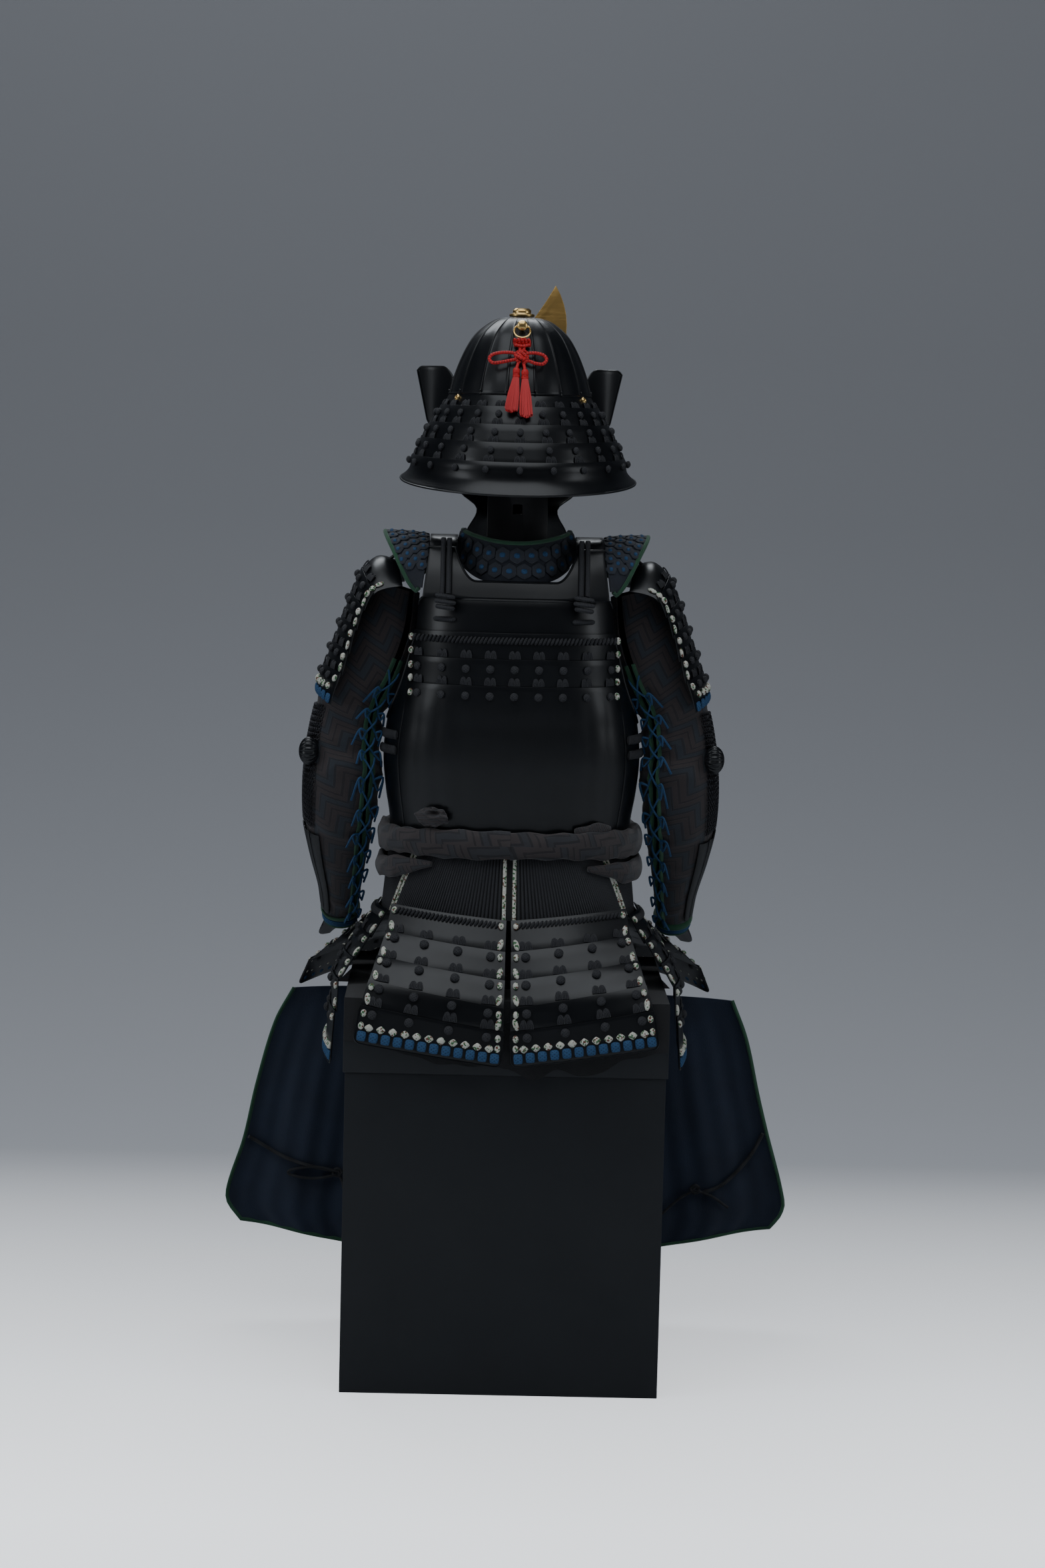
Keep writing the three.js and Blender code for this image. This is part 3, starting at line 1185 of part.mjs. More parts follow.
// Thigh apron: a cloth yoke over the lid's front edge, and two panels spread to either side
function apron() {
  const yokePlace = (u, v) => {
    const x = mix(1, -1, u) * between(APRON_YOKE, 'v', v, 'halfWidth');
    return [x, between(APRON_YOKE, 'v', v, 'y'), between(APRON_YOKE, 'v', v, 'z')];
  };
  const stops = [0, 0.35, 0.62, 0.68, 0.74, 1];
  addMesh('apron_yoke', wall(yokePlace, 8, 0, CLOTH, { stops }), BROCADE);
  for (const [name, side] of [['left', 1], ['right', -1]]) {
    const shape = APRON_SIDES[name];
    const place = (u, v) => {
      const outerZ = mix(shape.edge[0].z, shape.hemOuterZ, v);
      const x = mix(mix(shape.innerTop, shape.innerBottom, v), between(shape.edge, 'z', outerZ, 'x'), u);
      const z = mix(mix(APRON_TOP_Z - SEAM, shape.hemInnerZ, v), outerZ, u);
      const hang = APRON_FOLD * Math.sin(u * APRON_FOLDS * Math.PI + 1.2 * v) * Math.min(1, v * 2);
      const turn = APRON_EDGE_TURN * (Math.max(0, u - 0.8) / 0.2) ** 2;
      return [side * x, APRON_Y + hang - 4 * v + turn, z];
    };
    addMesh(`apron_panel_${name}`, wall(place, 14, 7, side * CLOTH), LINING);
    const path = [];
    for (let i = 0; i <= 12; i += 1) {
      const across = mix(TIES[name][0].across, TIES[name].at(-1).across, i / 12);
      const [x, y, z] = place(across, between(TIES[name], 'across', across, 'down'));
      path.push([x, y + TIE_DIAMETER / 2 + TIE_CLEAR, z]);
    }
    addMesh(`apron_tie_${name}`, cordGeometry(path, TIE_DIAMETER, 10, 6), BRAID);
  }
}
apron();

export default armour;
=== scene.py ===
import math
import random

import bpy
from mathutils import Matrix, Vector


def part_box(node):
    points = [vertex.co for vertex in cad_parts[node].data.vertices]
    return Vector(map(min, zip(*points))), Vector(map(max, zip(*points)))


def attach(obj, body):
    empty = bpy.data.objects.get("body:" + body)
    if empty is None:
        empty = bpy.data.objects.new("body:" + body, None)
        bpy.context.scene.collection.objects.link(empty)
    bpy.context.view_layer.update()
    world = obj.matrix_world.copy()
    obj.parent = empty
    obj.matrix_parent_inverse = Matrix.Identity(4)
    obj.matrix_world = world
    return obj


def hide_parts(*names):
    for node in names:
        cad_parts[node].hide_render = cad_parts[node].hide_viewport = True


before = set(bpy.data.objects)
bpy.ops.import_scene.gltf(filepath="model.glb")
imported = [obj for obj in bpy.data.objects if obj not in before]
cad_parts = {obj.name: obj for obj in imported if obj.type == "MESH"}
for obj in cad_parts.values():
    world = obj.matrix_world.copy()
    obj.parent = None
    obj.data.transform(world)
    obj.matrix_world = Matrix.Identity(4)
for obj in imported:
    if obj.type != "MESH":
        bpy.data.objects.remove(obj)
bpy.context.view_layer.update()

mm = 0.001


# Camera: it looks at the armour's back from 5 m away, 1.4 m above the floor, pitched down a little
# and rolled slightly, as the photograph was taken.
camera_place = Vector((0.060, 5.0, 1.400))
pitch, yaw, roll = math.radians(6.0), math.radians(-0.89), math.radians(1.40)
photo_height, focal_pixels, sensor = 2353, 5040, 36
ahead = Vector((math.sin(yaw) * math.cos(pitch), -math.cos(yaw) * math.cos(pitch), -math.sin(pitch)))
level = ahead.cross(Vector((0, 0, 1))).normalized()
upright = level.cross(ahead)
picture_right = level * math.cos(roll) + upright * math.sin(roll)
picture_up = upright * math.cos(roll) - level * math.sin(roll)
lens_data = bpy.data.cameras.new("camera")
lens_data.sensor_fit = "VERTICAL"
lens_data.sensor_height = sensor
lens_data.lens = focal_pixels / photo_height * sensor
camera = bpy.data.objects.new("camera", lens_data)
camera_turn = Matrix((picture_right, picture_up, -ahead)).transposed().to_4x4()
camera.matrix_world = Matrix.Translation(camera_place) @ camera_turn
bpy.context.scene.collection.objects.link(camera)
bpy.context.scene.camera = camera


# Apron ties: two braided black cords, one on the back of each apron panel, running from the panel's
# outer binding to a knot. They are the only free cords, so they come first.
def between(rows, at):
    """A smooth value between the rows of a table of (place, value) pairs, rising or falling."""
    last = len(rows) - 1
    way = 1 if rows[last][0] > rows[0][0] else -1
    i = 0
    while i < last - 1 and (at - rows[i + 1][0]) * way > 0:
        i += 1
    def slope(j):
        before, after = rows[max(j - 1, 0)], rows[min(j + 1, last)]
        return (after[1] - before[1]) / (after[0] - before[0])
    width = rows[i + 1][0] - rows[i][0]
    s = min(max((at - rows[i][0]) / width, 0), 1)
    pull = slope(i) * width * s * (1 - s) ** 2 - slope(i + 1) * width * s * s * (1 - s)
    return rows[i][1] + (rows[i + 1][1] - rows[i][1]) * s * s * (3 - 2 * s) + pull


def mix(start, end, share):
    return start + (end - start) * share


apron_edges = {
    "left": [(521, 330), (467, 358), (366, 386), (277, 405), (204, 428), (176, 429), (147, 408)],
    "right": [(515, 360), (454, 384), (366, 405), (312, 419), (193, 451), (170, 446), (150, 430)],
}
apron_top_z, apron_hem_z, apron_y, apron_fold = 529.7, 62, -237, 5


def apron_point(name, u, v, out=0.0):
    """A point of an apron panel's rear face, in metres: u runs outward and v down."""
    side = 1 if name == "left" else -1
    edge = apron_edges[name]
    outer_z = mix(edge[0][0], edge[-1][0], v)
    x = mix(mix(6, 12, v), between(edge, outer_z), u)
    z = mix(mix(apron_top_z, apron_hem_z, v), outer_z, u)
    hang = apron_fold * math.sin(u * 5.5 * math.pi + 1.2 * v) * min(1, v * 2)
    turn = 14 * (max(0, u - 0.8) / 0.2) ** 2
    return Vector((side * x, apron_y + hang - 4 * v + turn + out, z)) * mm


tie_routes = {
    "left": [(0.985, 0.64), (0.92, 0.67), (0.84, 0.7), (0.74, 0.72), (0.62, 0.73)],
    "right": [(0.985, 0.58), (0.93, 0.66), (0.86, 0.73), (0.79, 0.78), (0.72, 0.8)],
}
tie_diameter, tie_clear = 6, 1.9


def deselect():
    if bpy.context.object and bpy.context.object.mode != "OBJECT":
        bpy.ops.object.mode_set(mode="OBJECT")
    bpy.ops.object.select_all(action="DESELECT")


def make_active(piece):
    deselect()
    bpy.context.view_layer.objects.active = piece
    piece.select_set(True)


def length_of(points):
    return sum((b - a).length for a, b in zip(points, points[1:]))


def curve_piece(name, points, radius):
    """A round cord along some points, as a curve."""
    data = bpy.data.curves.new(name, "CURVE")
    data.dimensions = "3D"
    data.bevel_depth = 1.0
    data.bevel_resolution = 3
    data.use_fill_caps = True
    spline = data.splines.new("POLY")
    spline.points.add(len(points) - 1)
    for point, place in zip(spline.points, points):
        point.co = (*place, 1)
        point.radius = radius
    piece = bpy.data.objects.new(name, data)
    bpy.context.scene.collection.objects.link(piece)
    return piece


def rounded(points, steps=6):
    """A smooth run of points through a few given ones."""
    ends = [points[0] * 2 - points[1]] + list(points) + [points[-1] * 2 - points[-2]]
    run = []
    for i in range(1, len(ends) - 2):
        before, start, stop, after = ends[i - 1], ends[i], ends[i + 1], ends[i + 2]
        for j in range(steps):
            t = j / steps
            run.append(0.5 * ((start * 2) + (stop - before) * t
                              + (before * 2 - start * 5 + stop * 4 - after) * t * t
                              + (start * 3 - before - stop * 3 + after) * t ** 3))
    run.append(Vector(points[-1]))
    return run


def apron_seat(name, x, z, out):
    """The point of an apron panel's rear face at that x and z, in mm."""
    edge, v = apron_edges[name], 0.5
    for _ in range(6):
        near, far = mix(6, 12, v), between(edge, mix(edge[0][0], edge[-1][0], v))
        u = (abs(x) - near) / (far - near)
        top, low = mix(apron_top_z, edge[0][0], u), mix(apron_hem_z, edge[-1][0], u)
        v = (top - z) / (top - low)
    return apron_point(name, u, v, out)


# Each tie ends in a knot, with a hanging loop and a loose end: runs of x and z on the panel, in mm.
tie_knots = {
    "left": [[(264, 226), (257, 230), (250, 224), (256, 217), (264, 221), (259, 229), (252, 219)],
             [(256, 224), (292, 233), (330, 228), (331, 220), (296, 214), (258, 219)],
             [(256, 222), (250, 210), (247, 197)]],
    "right": [[(-318, 212), (-311, 216), (-304, 210), (-309, 203), (-317, 206), (-313, 214), (-306, 206)],
              [(-311, 208), (-286, 192), (-260, 167)],
              [(-312, 208), (-338, 199), (-364, 181)]],
}
knot_seat, knot_radius = 6.4, 2.2
apron_ties = []
for side, route in tie_routes.items():
    points = []
    for i in range(25):
        across = mix(route[0][0], route[-1][0], i / 24)
        points.append(apron_point(side, across, between(route, across), tie_diameter / 2 + tie_clear))
    tie = curve_piece(f"apron_tie_cord_{side}", points, tie_diameter / 2 * mm)
    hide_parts(f"apron_tie_{side}")
    knot = []
    for number, run in enumerate(tie_knots[side]):
        line = rounded([apron_seat(side, x, z, knot_seat) for x, z in run])
        knot.append(curve_piece(f"apron_tie_knot_{side}_{number}", line, knot_radius * mm))
    for piece in [tie] + knot:
        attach(piece, "root")
        apron_ties.append(piece)
    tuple(points[0])
    length_of(points)


# Floor and light: a pale floor that runs up into a grey backdrop, which shows from its front only; its colour
# is a painted fall-off of light and a painted glow.
# One broad soft light hangs above, one stands at each side and one shines on the armour's front.
def plain_material(name, color, roughness):
    material = bpy.data.materials.new(name)
    material.use_nodes = True
    shader = material.node_tree.nodes["Principled BSDF"]
    shader.inputs["Base Color"].default_value = (*color, 1)
    shader.inputs["Roughness"].default_value = roughness
    return material


def shaped_grid(name, place, us, vs):
    """A grid of faces whose points lie at place(u, v), with u and v as its UV map."""
    deselect()
    bpy.ops.mesh.primitive_grid_add(x_subdivisions=len(us) - 1, y_subdivisions=len(vs) - 1, size=1)
    piece = bpy.context.object
    piece.name = name
    spots = [(u, v) for v in vs for u in us]
    for vertex, (u, v) in zip(piece.data.vertices, spots):
        vertex.co = place(u, v)
    spread_map = piece.data.uv_layers.active.data
    for loop in piece.data.loops:
        spread_map[loop.index].uv = spots[loop.vertex_index]
    return piece


def even(count, start=0.0, end=1.0):
    return [start + (end - start) * i / count for i in range(count + 1)]


def studio_point(u, v):
    """Floor for the first part of v, then a quarter circle, then a wall."""
    x = mix(9, -9, u)
    if v < 0.5:
        return (x, mix(9, sweep_y, v / 0.5), 0)
    if v < 0.8:
        turn = (v - 0.5) / 0.3 * math.pi / 2
        return (x, sweep_y - sweep_radius * math.sin(turn), sweep_radius * (1 - math.cos(turn)))
    return (x, sweep_y - sweep_radius, mix(sweep_radius, 7, (v - 0.8) / 0.2))


sweep_y, sweep_radius = -1.25, 1.6
floor = shaped_grid("studio", studio_point, even(2), even(40))
backdrop_painted_light = plain_material("backdrop_painted_light", (0.6, 0.6, 0.62), 0.8)
studio_tree = backdrop_painted_light.node_tree
studio_shader = studio_tree.nodes["Principled BSDF"]
studio_place = studio_tree.nodes.new("ShaderNodeTexCoord").outputs["Object"]
studio_depth = studio_tree.nodes.new("ShaderNodeSeparateXYZ")
studio_tree.links.new(studio_place, studio_depth.inputs[0])
# Painted shade and painted light: the backdrop's colour runs from dark grey at the wall to near-white on the
# floor by the armour.
backdrop_painted_falloff = studio_tree.nodes.new("ShaderNodeValToRGB")
studio_range = studio_tree.nodes.new("ShaderNodeMapRange")
studio_range.inputs["From Min"].default_value = -2.8
studio_range.inputs["From Max"].default_value = 2.0
studio_tree.links.new(studio_depth.outputs["Y"], studio_range.inputs["Value"])
studio_tree.links.new(studio_range.outputs[0], backdrop_painted_falloff.inputs[0])
studio_tree.links.new(backdrop_painted_falloff.outputs[0], studio_shader.inputs["Base Color"])
backdrop_painted_falloff.color_ramp.elements[0].position = 0.0
backdrop_painted_falloff.color_ramp.elements[0].color = (0.064, 0.068, 0.076, 1)
backdrop_painted_falloff.color_ramp.elements[1].position = 0.75
backdrop_painted_falloff.color_ramp.elements[1].color = (0.9, 0.925, 0.96, 1)
backdrop_falloff_middle = backdrop_painted_falloff.color_ramp.elements.new(0.3)
backdrop_falloff_middle.color = (0.14, 0.148, 0.164, 1)
studio_tree.links.new(backdrop_painted_falloff.outputs[0], studio_shader.inputs["Emission Color"])
# Painted glow: the backdrop gives off its own colour as light, for camera rays only.
backdrop_painted_glow = studio_tree.nodes.new("ShaderNodeMapRange")
backdrop_painted_glow.inputs["To Max"].default_value = 1.3
studio_path = studio_tree.nodes.new("ShaderNodeLightPath")
studio_tree.links.new(studio_path.outputs["Is Camera Ray"], backdrop_painted_glow.inputs["Value"])
studio_tree.links.new(backdrop_painted_glow.outputs[0], studio_shader.inputs["Emission Strength"])
studio_clear = studio_tree.nodes.new("ShaderNodeBsdfTransparent")
studio_mix = studio_tree.nodes.new("ShaderNodeMixShader")
studio_side = studio_tree.nodes.new("ShaderNodeNewGeometry")
studio_tree.links.new(studio_side.outputs["Backfacing"], studio_mix.inputs[0])
studio_tree.links.new(studio_shader.outputs[0], studio_mix.inputs[1])
studio_tree.links.new(studio_clear.outputs[0], studio_mix.inputs[2])
studio_tree.links.new(studio_mix.outputs[0], studio_tree.nodes["Material Output"].inputs["Surface"])
floor.data.materials.append(backdrop_painted_light)
bpy.ops.object.shade_smooth()


middle, cool_white = (0, 0, 0.9), (0.9, 0.95, 1)


def soft_light(name, place, size, power):
    data = bpy.data.lights.new(name, "AREA")
    data.shape = "RECTANGLE"
    data.size, data.size_y = size
    data.energy = power
    data.color = cool_white
    lamp = bpy.data.objects.new(name, data)
    lamp.location = place
    lamp.rotation_euler = (Vector(middle) - Vector(place)).to_track_quat("-Z", "Y").to_euler()
    bpy.context.scene.collection.objects.link(lamp)


soft_light("light_above", (0.3, 1.5, 4.6), (4.4, 3.6), 95)
soft_light("light_left", (4.4, 2.0, 2.4), (1.4, 2.6), 34)
soft_light("light_right", (-4.4, 1.8, 2.2), (1.4, 2.6), 26)
soft_light("light_front", (0.4, -2.3, 3.7), (2.6, 1.2), 45)
world = bpy.context.scene.world or bpy.data.worlds.new("world")
bpy.context.scene.world = world
world.use_nodes = True
sky = world.node_tree.nodes["Background"]
sky.inputs["Color"].default_value = (0.30, 0.31, 0.335, 1)
sky.inputs["Strength"].default_value = 0.16


# Storage chest: a deep lidded box of boards under smooth, matt dark grey lacquer. Its long edges
# are eased a little, and they catch the light.
def new_material(name, color, roughness, metallic=0.0):
    """A material and its shader, with its plain values set."""
    material = plain_material(name, color, roughness)
    tree = material.node_tree
    shader = tree.nodes["Principled BSDF"]
    shader.inputs["Metallic"].default_value = metallic
    place = tree.nodes.new("ShaderNodeTexCoord").outputs["Object"]
    return material, tree, shader, place


def add_node(tree, kind, settings=None, **inputs):
    """A node with its settings and its inputs, which are values or other nodes' outputs."""
    node = tree.nodes.new("ShaderNode" + kind)
    for key, value in (settings or {}).items():
        setattr(node, key, value)
    for key, value in inputs.items():
        socket = node.inputs[int(key[1:])] if key[0] == "_" else node.inputs[key.replace("_", " ")]
        if isinstance(value, bpy.types.NodeSocket):
            tree.links.new(value, socket)
        else:
            socket.default_value = value
    return node


def noise(tree, place, scale, detail=3, stretch=(1, 1, 1)):
    """Noise on the piece's own coordinates, from 0 to 1."""
    if stretch != (1, 1, 1):
        place = add_node(tree, "Mapping", Vector=place, Scale=stretch).outputs[0]
    return add_node(tree, "TexNoise", Vector=place, Scale=scale, Detail=detail).outputs["Fac"]


def graded(tree, value, stops, interpolation="LINEAR"):
    """A colour from a value, through some stops of (place, colour)."""
    ramp = tree.nodes.new("ShaderNodeValToRGB")
    tree.links.new(value, ramp.inputs[0])
    band = ramp.color_ramp
    band.interpolation = interpolation
    while len(band.elements) < len(stops):
        band.elements.new(0.5)
    for element, (place, color) in zip(band.elements, stops):
        element.position = place
        element.color = (*color, 1)
    return ramp.outputs[0]


def spread(tree, value, low, high):
    """A value from 0 to 1, stretched to run from low to high."""
    return add_node(tree, "MapRange", Value=value, To_Min=low, To_Max=high).outputs[0]


def bumped(tree, shader, height, distance, strength=1.0):
    bump = add_node(tree, "Bump", Height=height, Distance=distance, Strength=strength)
    tree.links.new(bump.outputs[0], shader.inputs["Normal"])


def lacquer(name, dark, light, roughness, grain=2600, grain_depth=0.00006, coat=0.25):
    """Lacquer with a slight cloud in its colour, uneven gloss and a fine grain."""
    material, tree, shader, place = new_material(name, dark, roughness[0])
    cloud = noise(tree, place, 9, 4)
    tree.links.new(graded(tree, cloud, [(0.3, dark), (0.7, light)]), shader.inputs["Base Color"])
    tree.links.new(spread(tree, noise(tree, place, 60, 5), *roughness), shader.inputs["Roughness"])
    shader.inputs["Coat Weight"].default_value = coat
    shader.inputs["Coat Roughness"].default_value = 0.2
    shader.inputs["Specular IOR Level"].default_value = 0.36
    bumped(tree, shader, noise(tree, place, grain, 2), grain_depth)
    return material


def smooth_copy(node, name, material, levels=2, eased=0.5, sharp=38, body="root"):
    """A finer copy of a CAD piece: its facets are rounded off and its edges eased."""
    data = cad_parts[node].data.copy()
    data.materials.clear()
    data.materials.append(material)
    piece = bpy.data.objects.new(name, data)
    bpy.context.scene.collection.objects.link(piece)
    make_active(piece)
    bpy.ops.object.mode_set(mode="EDIT")
    bpy.ops.mesh.select_all(action="SELECT")
    bpy.ops.mesh.remove_doubles(threshold=0.00002)
    bpy.ops.mesh.tris_convert_to_quads(face_threshold=math.radians(35), shape_threshold=math.radians(60))
    bpy.ops.object.mode_set(mode="OBJECT")
    if eased:
        bevel = piece.modifiers.new("eased", "BEVEL")
        bevel.width = eased * mm
        bevel.segments = 1 if levels else 2
        bevel.limit_method = "ANGLE"
        bevel.angle_limit = math.radians(sharp)
        bpy.ops.object.modifier_apply(modifier="eased")
    if levels:
        fine = piece.modifiers.new("fine", "SUBSURF")
        fine.levels = fine.render_levels = levels
        bpy.ops.object.modifier_apply(modifier="fine")
    bpy.ops.object.shade_smooth_by_angle(angle=math.radians(40))
    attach(piece, body)
    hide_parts(node)
    return piece


chest_paint = lacquer("chest_paint", (0.012, 0.0135, 0.0165), (0.015, 0.017, 0.0205), (0.5, 0.58),
                      grain=900, grain_depth=0.00003, coat=0.0)
chest_lid = smooth_copy("chest_lid", "chest_lid_boards", chest_paint, levels=0, eased=1.2)
chest_body = smooth_copy("chest_body", "chest_body_boards", chest_paint, levels=0, eased=1.0)


# Stand: a foot board, a flat post with a square mortise and a shoulder bar, all painted black, and
# the turned block that the helmet rests on.
post_paint = lacquer("post_paint", (0.012, 0.012, 0.013), (0.02, 0.02, 0.022), (0.38, 0.5), grain=500)
stand = smooth_copy("stand_frame", "stand_boards", post_paint, levels=0, eased=0.8)
rest = smooth_copy("helmet_rest", "helmet_rest_block", post_paint, levels=1, eased=1.0, sharp=50)


# Helmet bowl: sixteen iron plates under satin lacquer, each seam turned up into a narrow rib, with
# a small rivet at the foot of each rib.
def facing(piece, away):
    """Turns a piece's faces so that they look the way that away(point) gives."""
    total = sum(face.area * face.normal.dot(away(face.center)) for face in piece.data.polygons)
    if total < 0:
        make_active(piece)
        bpy.ops.object.mode_set(mode="EDIT")
        bpy.ops.mesh.select_all(action="SELECT")
        bpy.ops.mesh.flip_normals()
        bpy.ops.object.mode_set(mode="OBJECT")


def merged(piece):
    make_active(piece)
    bpy.ops.object.mode_set(mode="EDIT")
    bpy.ops.mesh.select_all(action="SELECT")
    bpy.ops.mesh.remove_doubles(threshold=0.00003)
    bpy.ops.object.mode_set(mode="OBJECT")


def use_modifier(piece, kind, **settings):
    modifier = piece.modifiers.new("worked", kind)
    for key, value in settings.items():
        setattr(modifier, key, value)
    make_active(piece)
    bpy.ops.object.modifier_apply(modifier=modifier.name)


def worked_sheet(name, place, us, vs, thick, away, eased=0.45, smooth=35, closed=False):
    """A sheet of metal or cloth: its outer face at place(u, v), its wall behind, its rim eased."""
    piece = shaped_grid(name, place, us, vs)
    if closed:
        merged(piece)
    facing(piece, away)
    use_modifier(piece, "SOLIDIFY", thickness=thick * mm, offset=-1, use_even_offset=True)
    if eased:
        use_modifier(piece, "BEVEL", width=eased * mm, segments=2, limit_method="ANGLE",
                     angle_limit=math.radians(45))
    make_active(piece)
    bpy.ops.object.shade_smooth_by_angle(angle=math.radians(smooth))
    return piece


def join_pieces(name, pieces):
    make_active(pieces[0])
    for piece in pieces[1:]:
        piece.select_set(True)
    bpy.ops.object.join()
    pieces[0].name = name
    pieces[0].data.name = name
    return pieces[0]


def finished(piece, material, slot, *nodes, body="root"):
    """Gives a piece its finish, and says what it rides on and which nodes it stands for. Its slot is not
    used.
    """
    piece.data.materials.clear()
    piece.data.materials.append(material)
    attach(piece, body)
    if nodes:
        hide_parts(*nodes)
    return piece


iron_lacquer = lacquer("iron_lacquer", (0.003, 0.0036, 0.0048), (0.006, 0.007, 0.0092), (0.27, 0.38),
                       coat=0.2)

bowl_rows = [(1567, 0.11), (1564, 0.3), (1557, 0.45), (1542, 0.625), (1524, 0.745), (1500, 0.855),
             (1474, 0.945), (1452, 1.0)]
bowl_half_width, bowl_half_depth, bowl_plates = 105, 118, 16
rib_profile = {0.0: 2.3, 0.025: 2.2, 0.045: 0.5, 0.1: 0.1, 0.3: 0.35, 0.5: 0.45, 0.7: 0.35, 0.9: 0.1,
               0.955: 0.5, 0.975: 2.2}


def bowl_point(degrees, z, out=0.0):
    share = between(bowl_rows, z)
    turn = math.radians(degrees)
    return Vector(((share * bowl_half_width + out) * math.sin(turn),
                   (share * bowl_half_depth + out) * math.cos(turn), z)) * mm


def bowl_face(u, v):
    row = v * (len(bowl_rows) - 1)
    i = min(int(row), len(bowl_rows) - 2)
    z = mix(bowl_rows[i][0], bowl_rows[i + 1][0], row - i)
    along = u * bowl_plates
    part = round(along - math.floor(along + 1e-6), 4)
    ridge = rib_profile[min(rib_profile, key=lambda key: abs(key - part))]
    return bowl_point(360 * u + 180 / bowl_plates, z, ridge * min(1, v * 5 + 0.1))


def away_from_axis(point):
    return Vector((point.x, point.y, 0))


def away_from_head(point):
    return point - Vector((0, 0, 1.45))


bowl_columns = [(k + part) / bowl_plates for k in range(bowl_plates) for part in rib_profile] + [1.0]
bowl = worked_sheet("bowl_plates", bowl_face, bowl_columns, even(28), 2.6, away_from_head,
                    eased=0.3, smooth=50, closed=True)
finished(bowl, iron_lacquer, "lacquer", "helmet_bowl", body="helmet")


# Neck guard: five lacquered lames that flare out, each lapped over the outside of the one above,
# the last with a rolled hem.
def tube_part(points, radius, sides=6, closed=False, squash=1.0):
    """A round cord along some points, as points, faces and a map of its skin."""
    count = len(points)
    radii = radius if hasattr(radius, "__len__") else [radius] * count
    tangents = []
    for i in range(count):
        ahead_of = points[(i + 1) % count] if closed else points[min(i + 1, count - 1)]
        behind = points[i - 1] if closed or i else points[0]
        tangents.append((ahead_of - behind).normalized())
    side = tangents[0].orthogonal().normalized()
    vertices, run, runs = [], 0.0, []
    for i in range(count):
        side = (side - tangents[i] * side.dot(tangents[i])).normalized()
        over = tangents[i].cross(side)
        if i:
            run += (points[i] - points[i - 1]).length
        runs.append(run)
        for j in range(sides):
            turn = 2 * math.pi * j / sides
            vertices.append(points[i] + side * (radii[i] * math.cos(turn))
                            + over * (radii[i] * squash * math.sin(turn)))
    faces, skin = [], []
    for i in range(count if closed else count - 1):
        far = (i + 1) % count
        far_run = runs[far] if far else run + (points[0] - points[-1]).length
        for j in range(sides):
            k = (j + 1) % sides
            faces.append((i * sides + j, i * sides + k, far * sides + k, far * sides + j))
            skin.append(((j / sides, runs[i]), ((j + 1) / sides, runs[i]),
                         ((j + 1) / sides, far_run), (j / sides, far_run)))
    if not closed:
        faces.append(tuple(reversed(range(sides))))
        skin.append(tuple((0.5, 0.0) for _ in range(sides)))
        faces.append(tuple((count - 1) * sides + j for j in range(sides)))
        skin.append(tuple((0.5, run) for _ in range(sides)))
    return vertices, faces, skin


def piece_of(name, parts, smooth=40):
    """One piece from many parts."""
    vertices, faces, skin = [], [], []
    for part_vertices, part_faces, part_skin in parts:
        start = len(vertices)
        vertices.extend(part_vertices)
        faces.extend(tuple(start + i for i in face) for face in part_faces)
        skin.extend(part_skin)
    mesh = bpy.data.meshes.new(name)
    mesh.from_pydata([tuple(v) for v in vertices], [], faces)
    layer = mesh.uv_layers.new(name="skin").data
    flat = [value for corner_list in skin for corner in corner_list for value in corner]
    layer.foreach_set("uv", flat)
    piece = bpy.data.objects.new(name, mesh)
    bpy.context.scene.collection.objects.link(piece)
    make_active(piece)
    bpy.ops.object.shade_smooth_by_angle(angle=math.radians(smooth))
    return piece


guard_levels = [(1451.6, 1451.6, 0), (1432, 1433, 9.5), (1406, 1409, 24.5), (1380, 1387, 37),
                (1352, 1361, 49), (1307, 1328, 70)]
guard_half_angle, guard_lap, guard_step = 116, 3, 3.8


def guard_level(degrees, level):
    back_z, side_z, out = guard_levels[level]
    turn = math.radians(degrees)
    lift = (side_z - back_z) * (1 - math.cos(turn))
    return Vector(((bowl_half_width + out) * math.sin(turn), (bowl_half_depth + out) * math.cos(turn),
                   back_z + lift))


def guard_point(k, degrees, share, out=0.0):
    """A point of lame k: share runs from 0 at its top line to 1 at the next lame's."""
    above, below = guard_level(degrees, k), guard_level(degrees, k + 1)
    step = (0 if k == 0 else guard_step) * (1 - share)
    last = k == len(guard_levels) - 2
    hollow = min(max((share - 0.15) / 0.85, 0), 1)
    flare = -6 * math.sin(math.pi * hollow) if last else 0
    turn = math.radians(degrees)
    point = above.lerp(below, share)
    reach = step + flare + out
    return Vector((point.x + reach * math.sin(turn), point.y + reach * math.cos(turn), point.z)) * mm


def guard_lame(k):
    last = k == len(guard_levels) - 2
    def place(u, v):
        degrees = mix(-guard_half_angle, guard_half_angle, u)
        fall = guard_level(degrees, k).z - guard_level(degrees, k + 1).z
        start = 0 if k == 0 else -guard_lap / fall
        end = 1 if last else 1 + guard_lap / fall
        return guard_point(k, degrees, mix(start, end, v))
    return worked_sheet(f"neck_guard_{k + 1}", place, even(72), even(10 if last else 3), 1.8,
                        away_from_axis, eased=0.5)


for k in range(5):
    finished(guard_lame(k), iron_lacquer, "lacquer", f"neck_lame_{k + 1}", body="helmet")
hem_line = [guard_point(4, degrees, 1.0, -0.9)
            for degrees in even(90, -guard_half_angle, guard_half_angle)]
guard_hem = piece_of("neck_guard_hem", [tube_part(hem_line, 1.5 * mm, 8)])
finished(guard_hem, iron_lacquer, "lacquer", body="helmet")


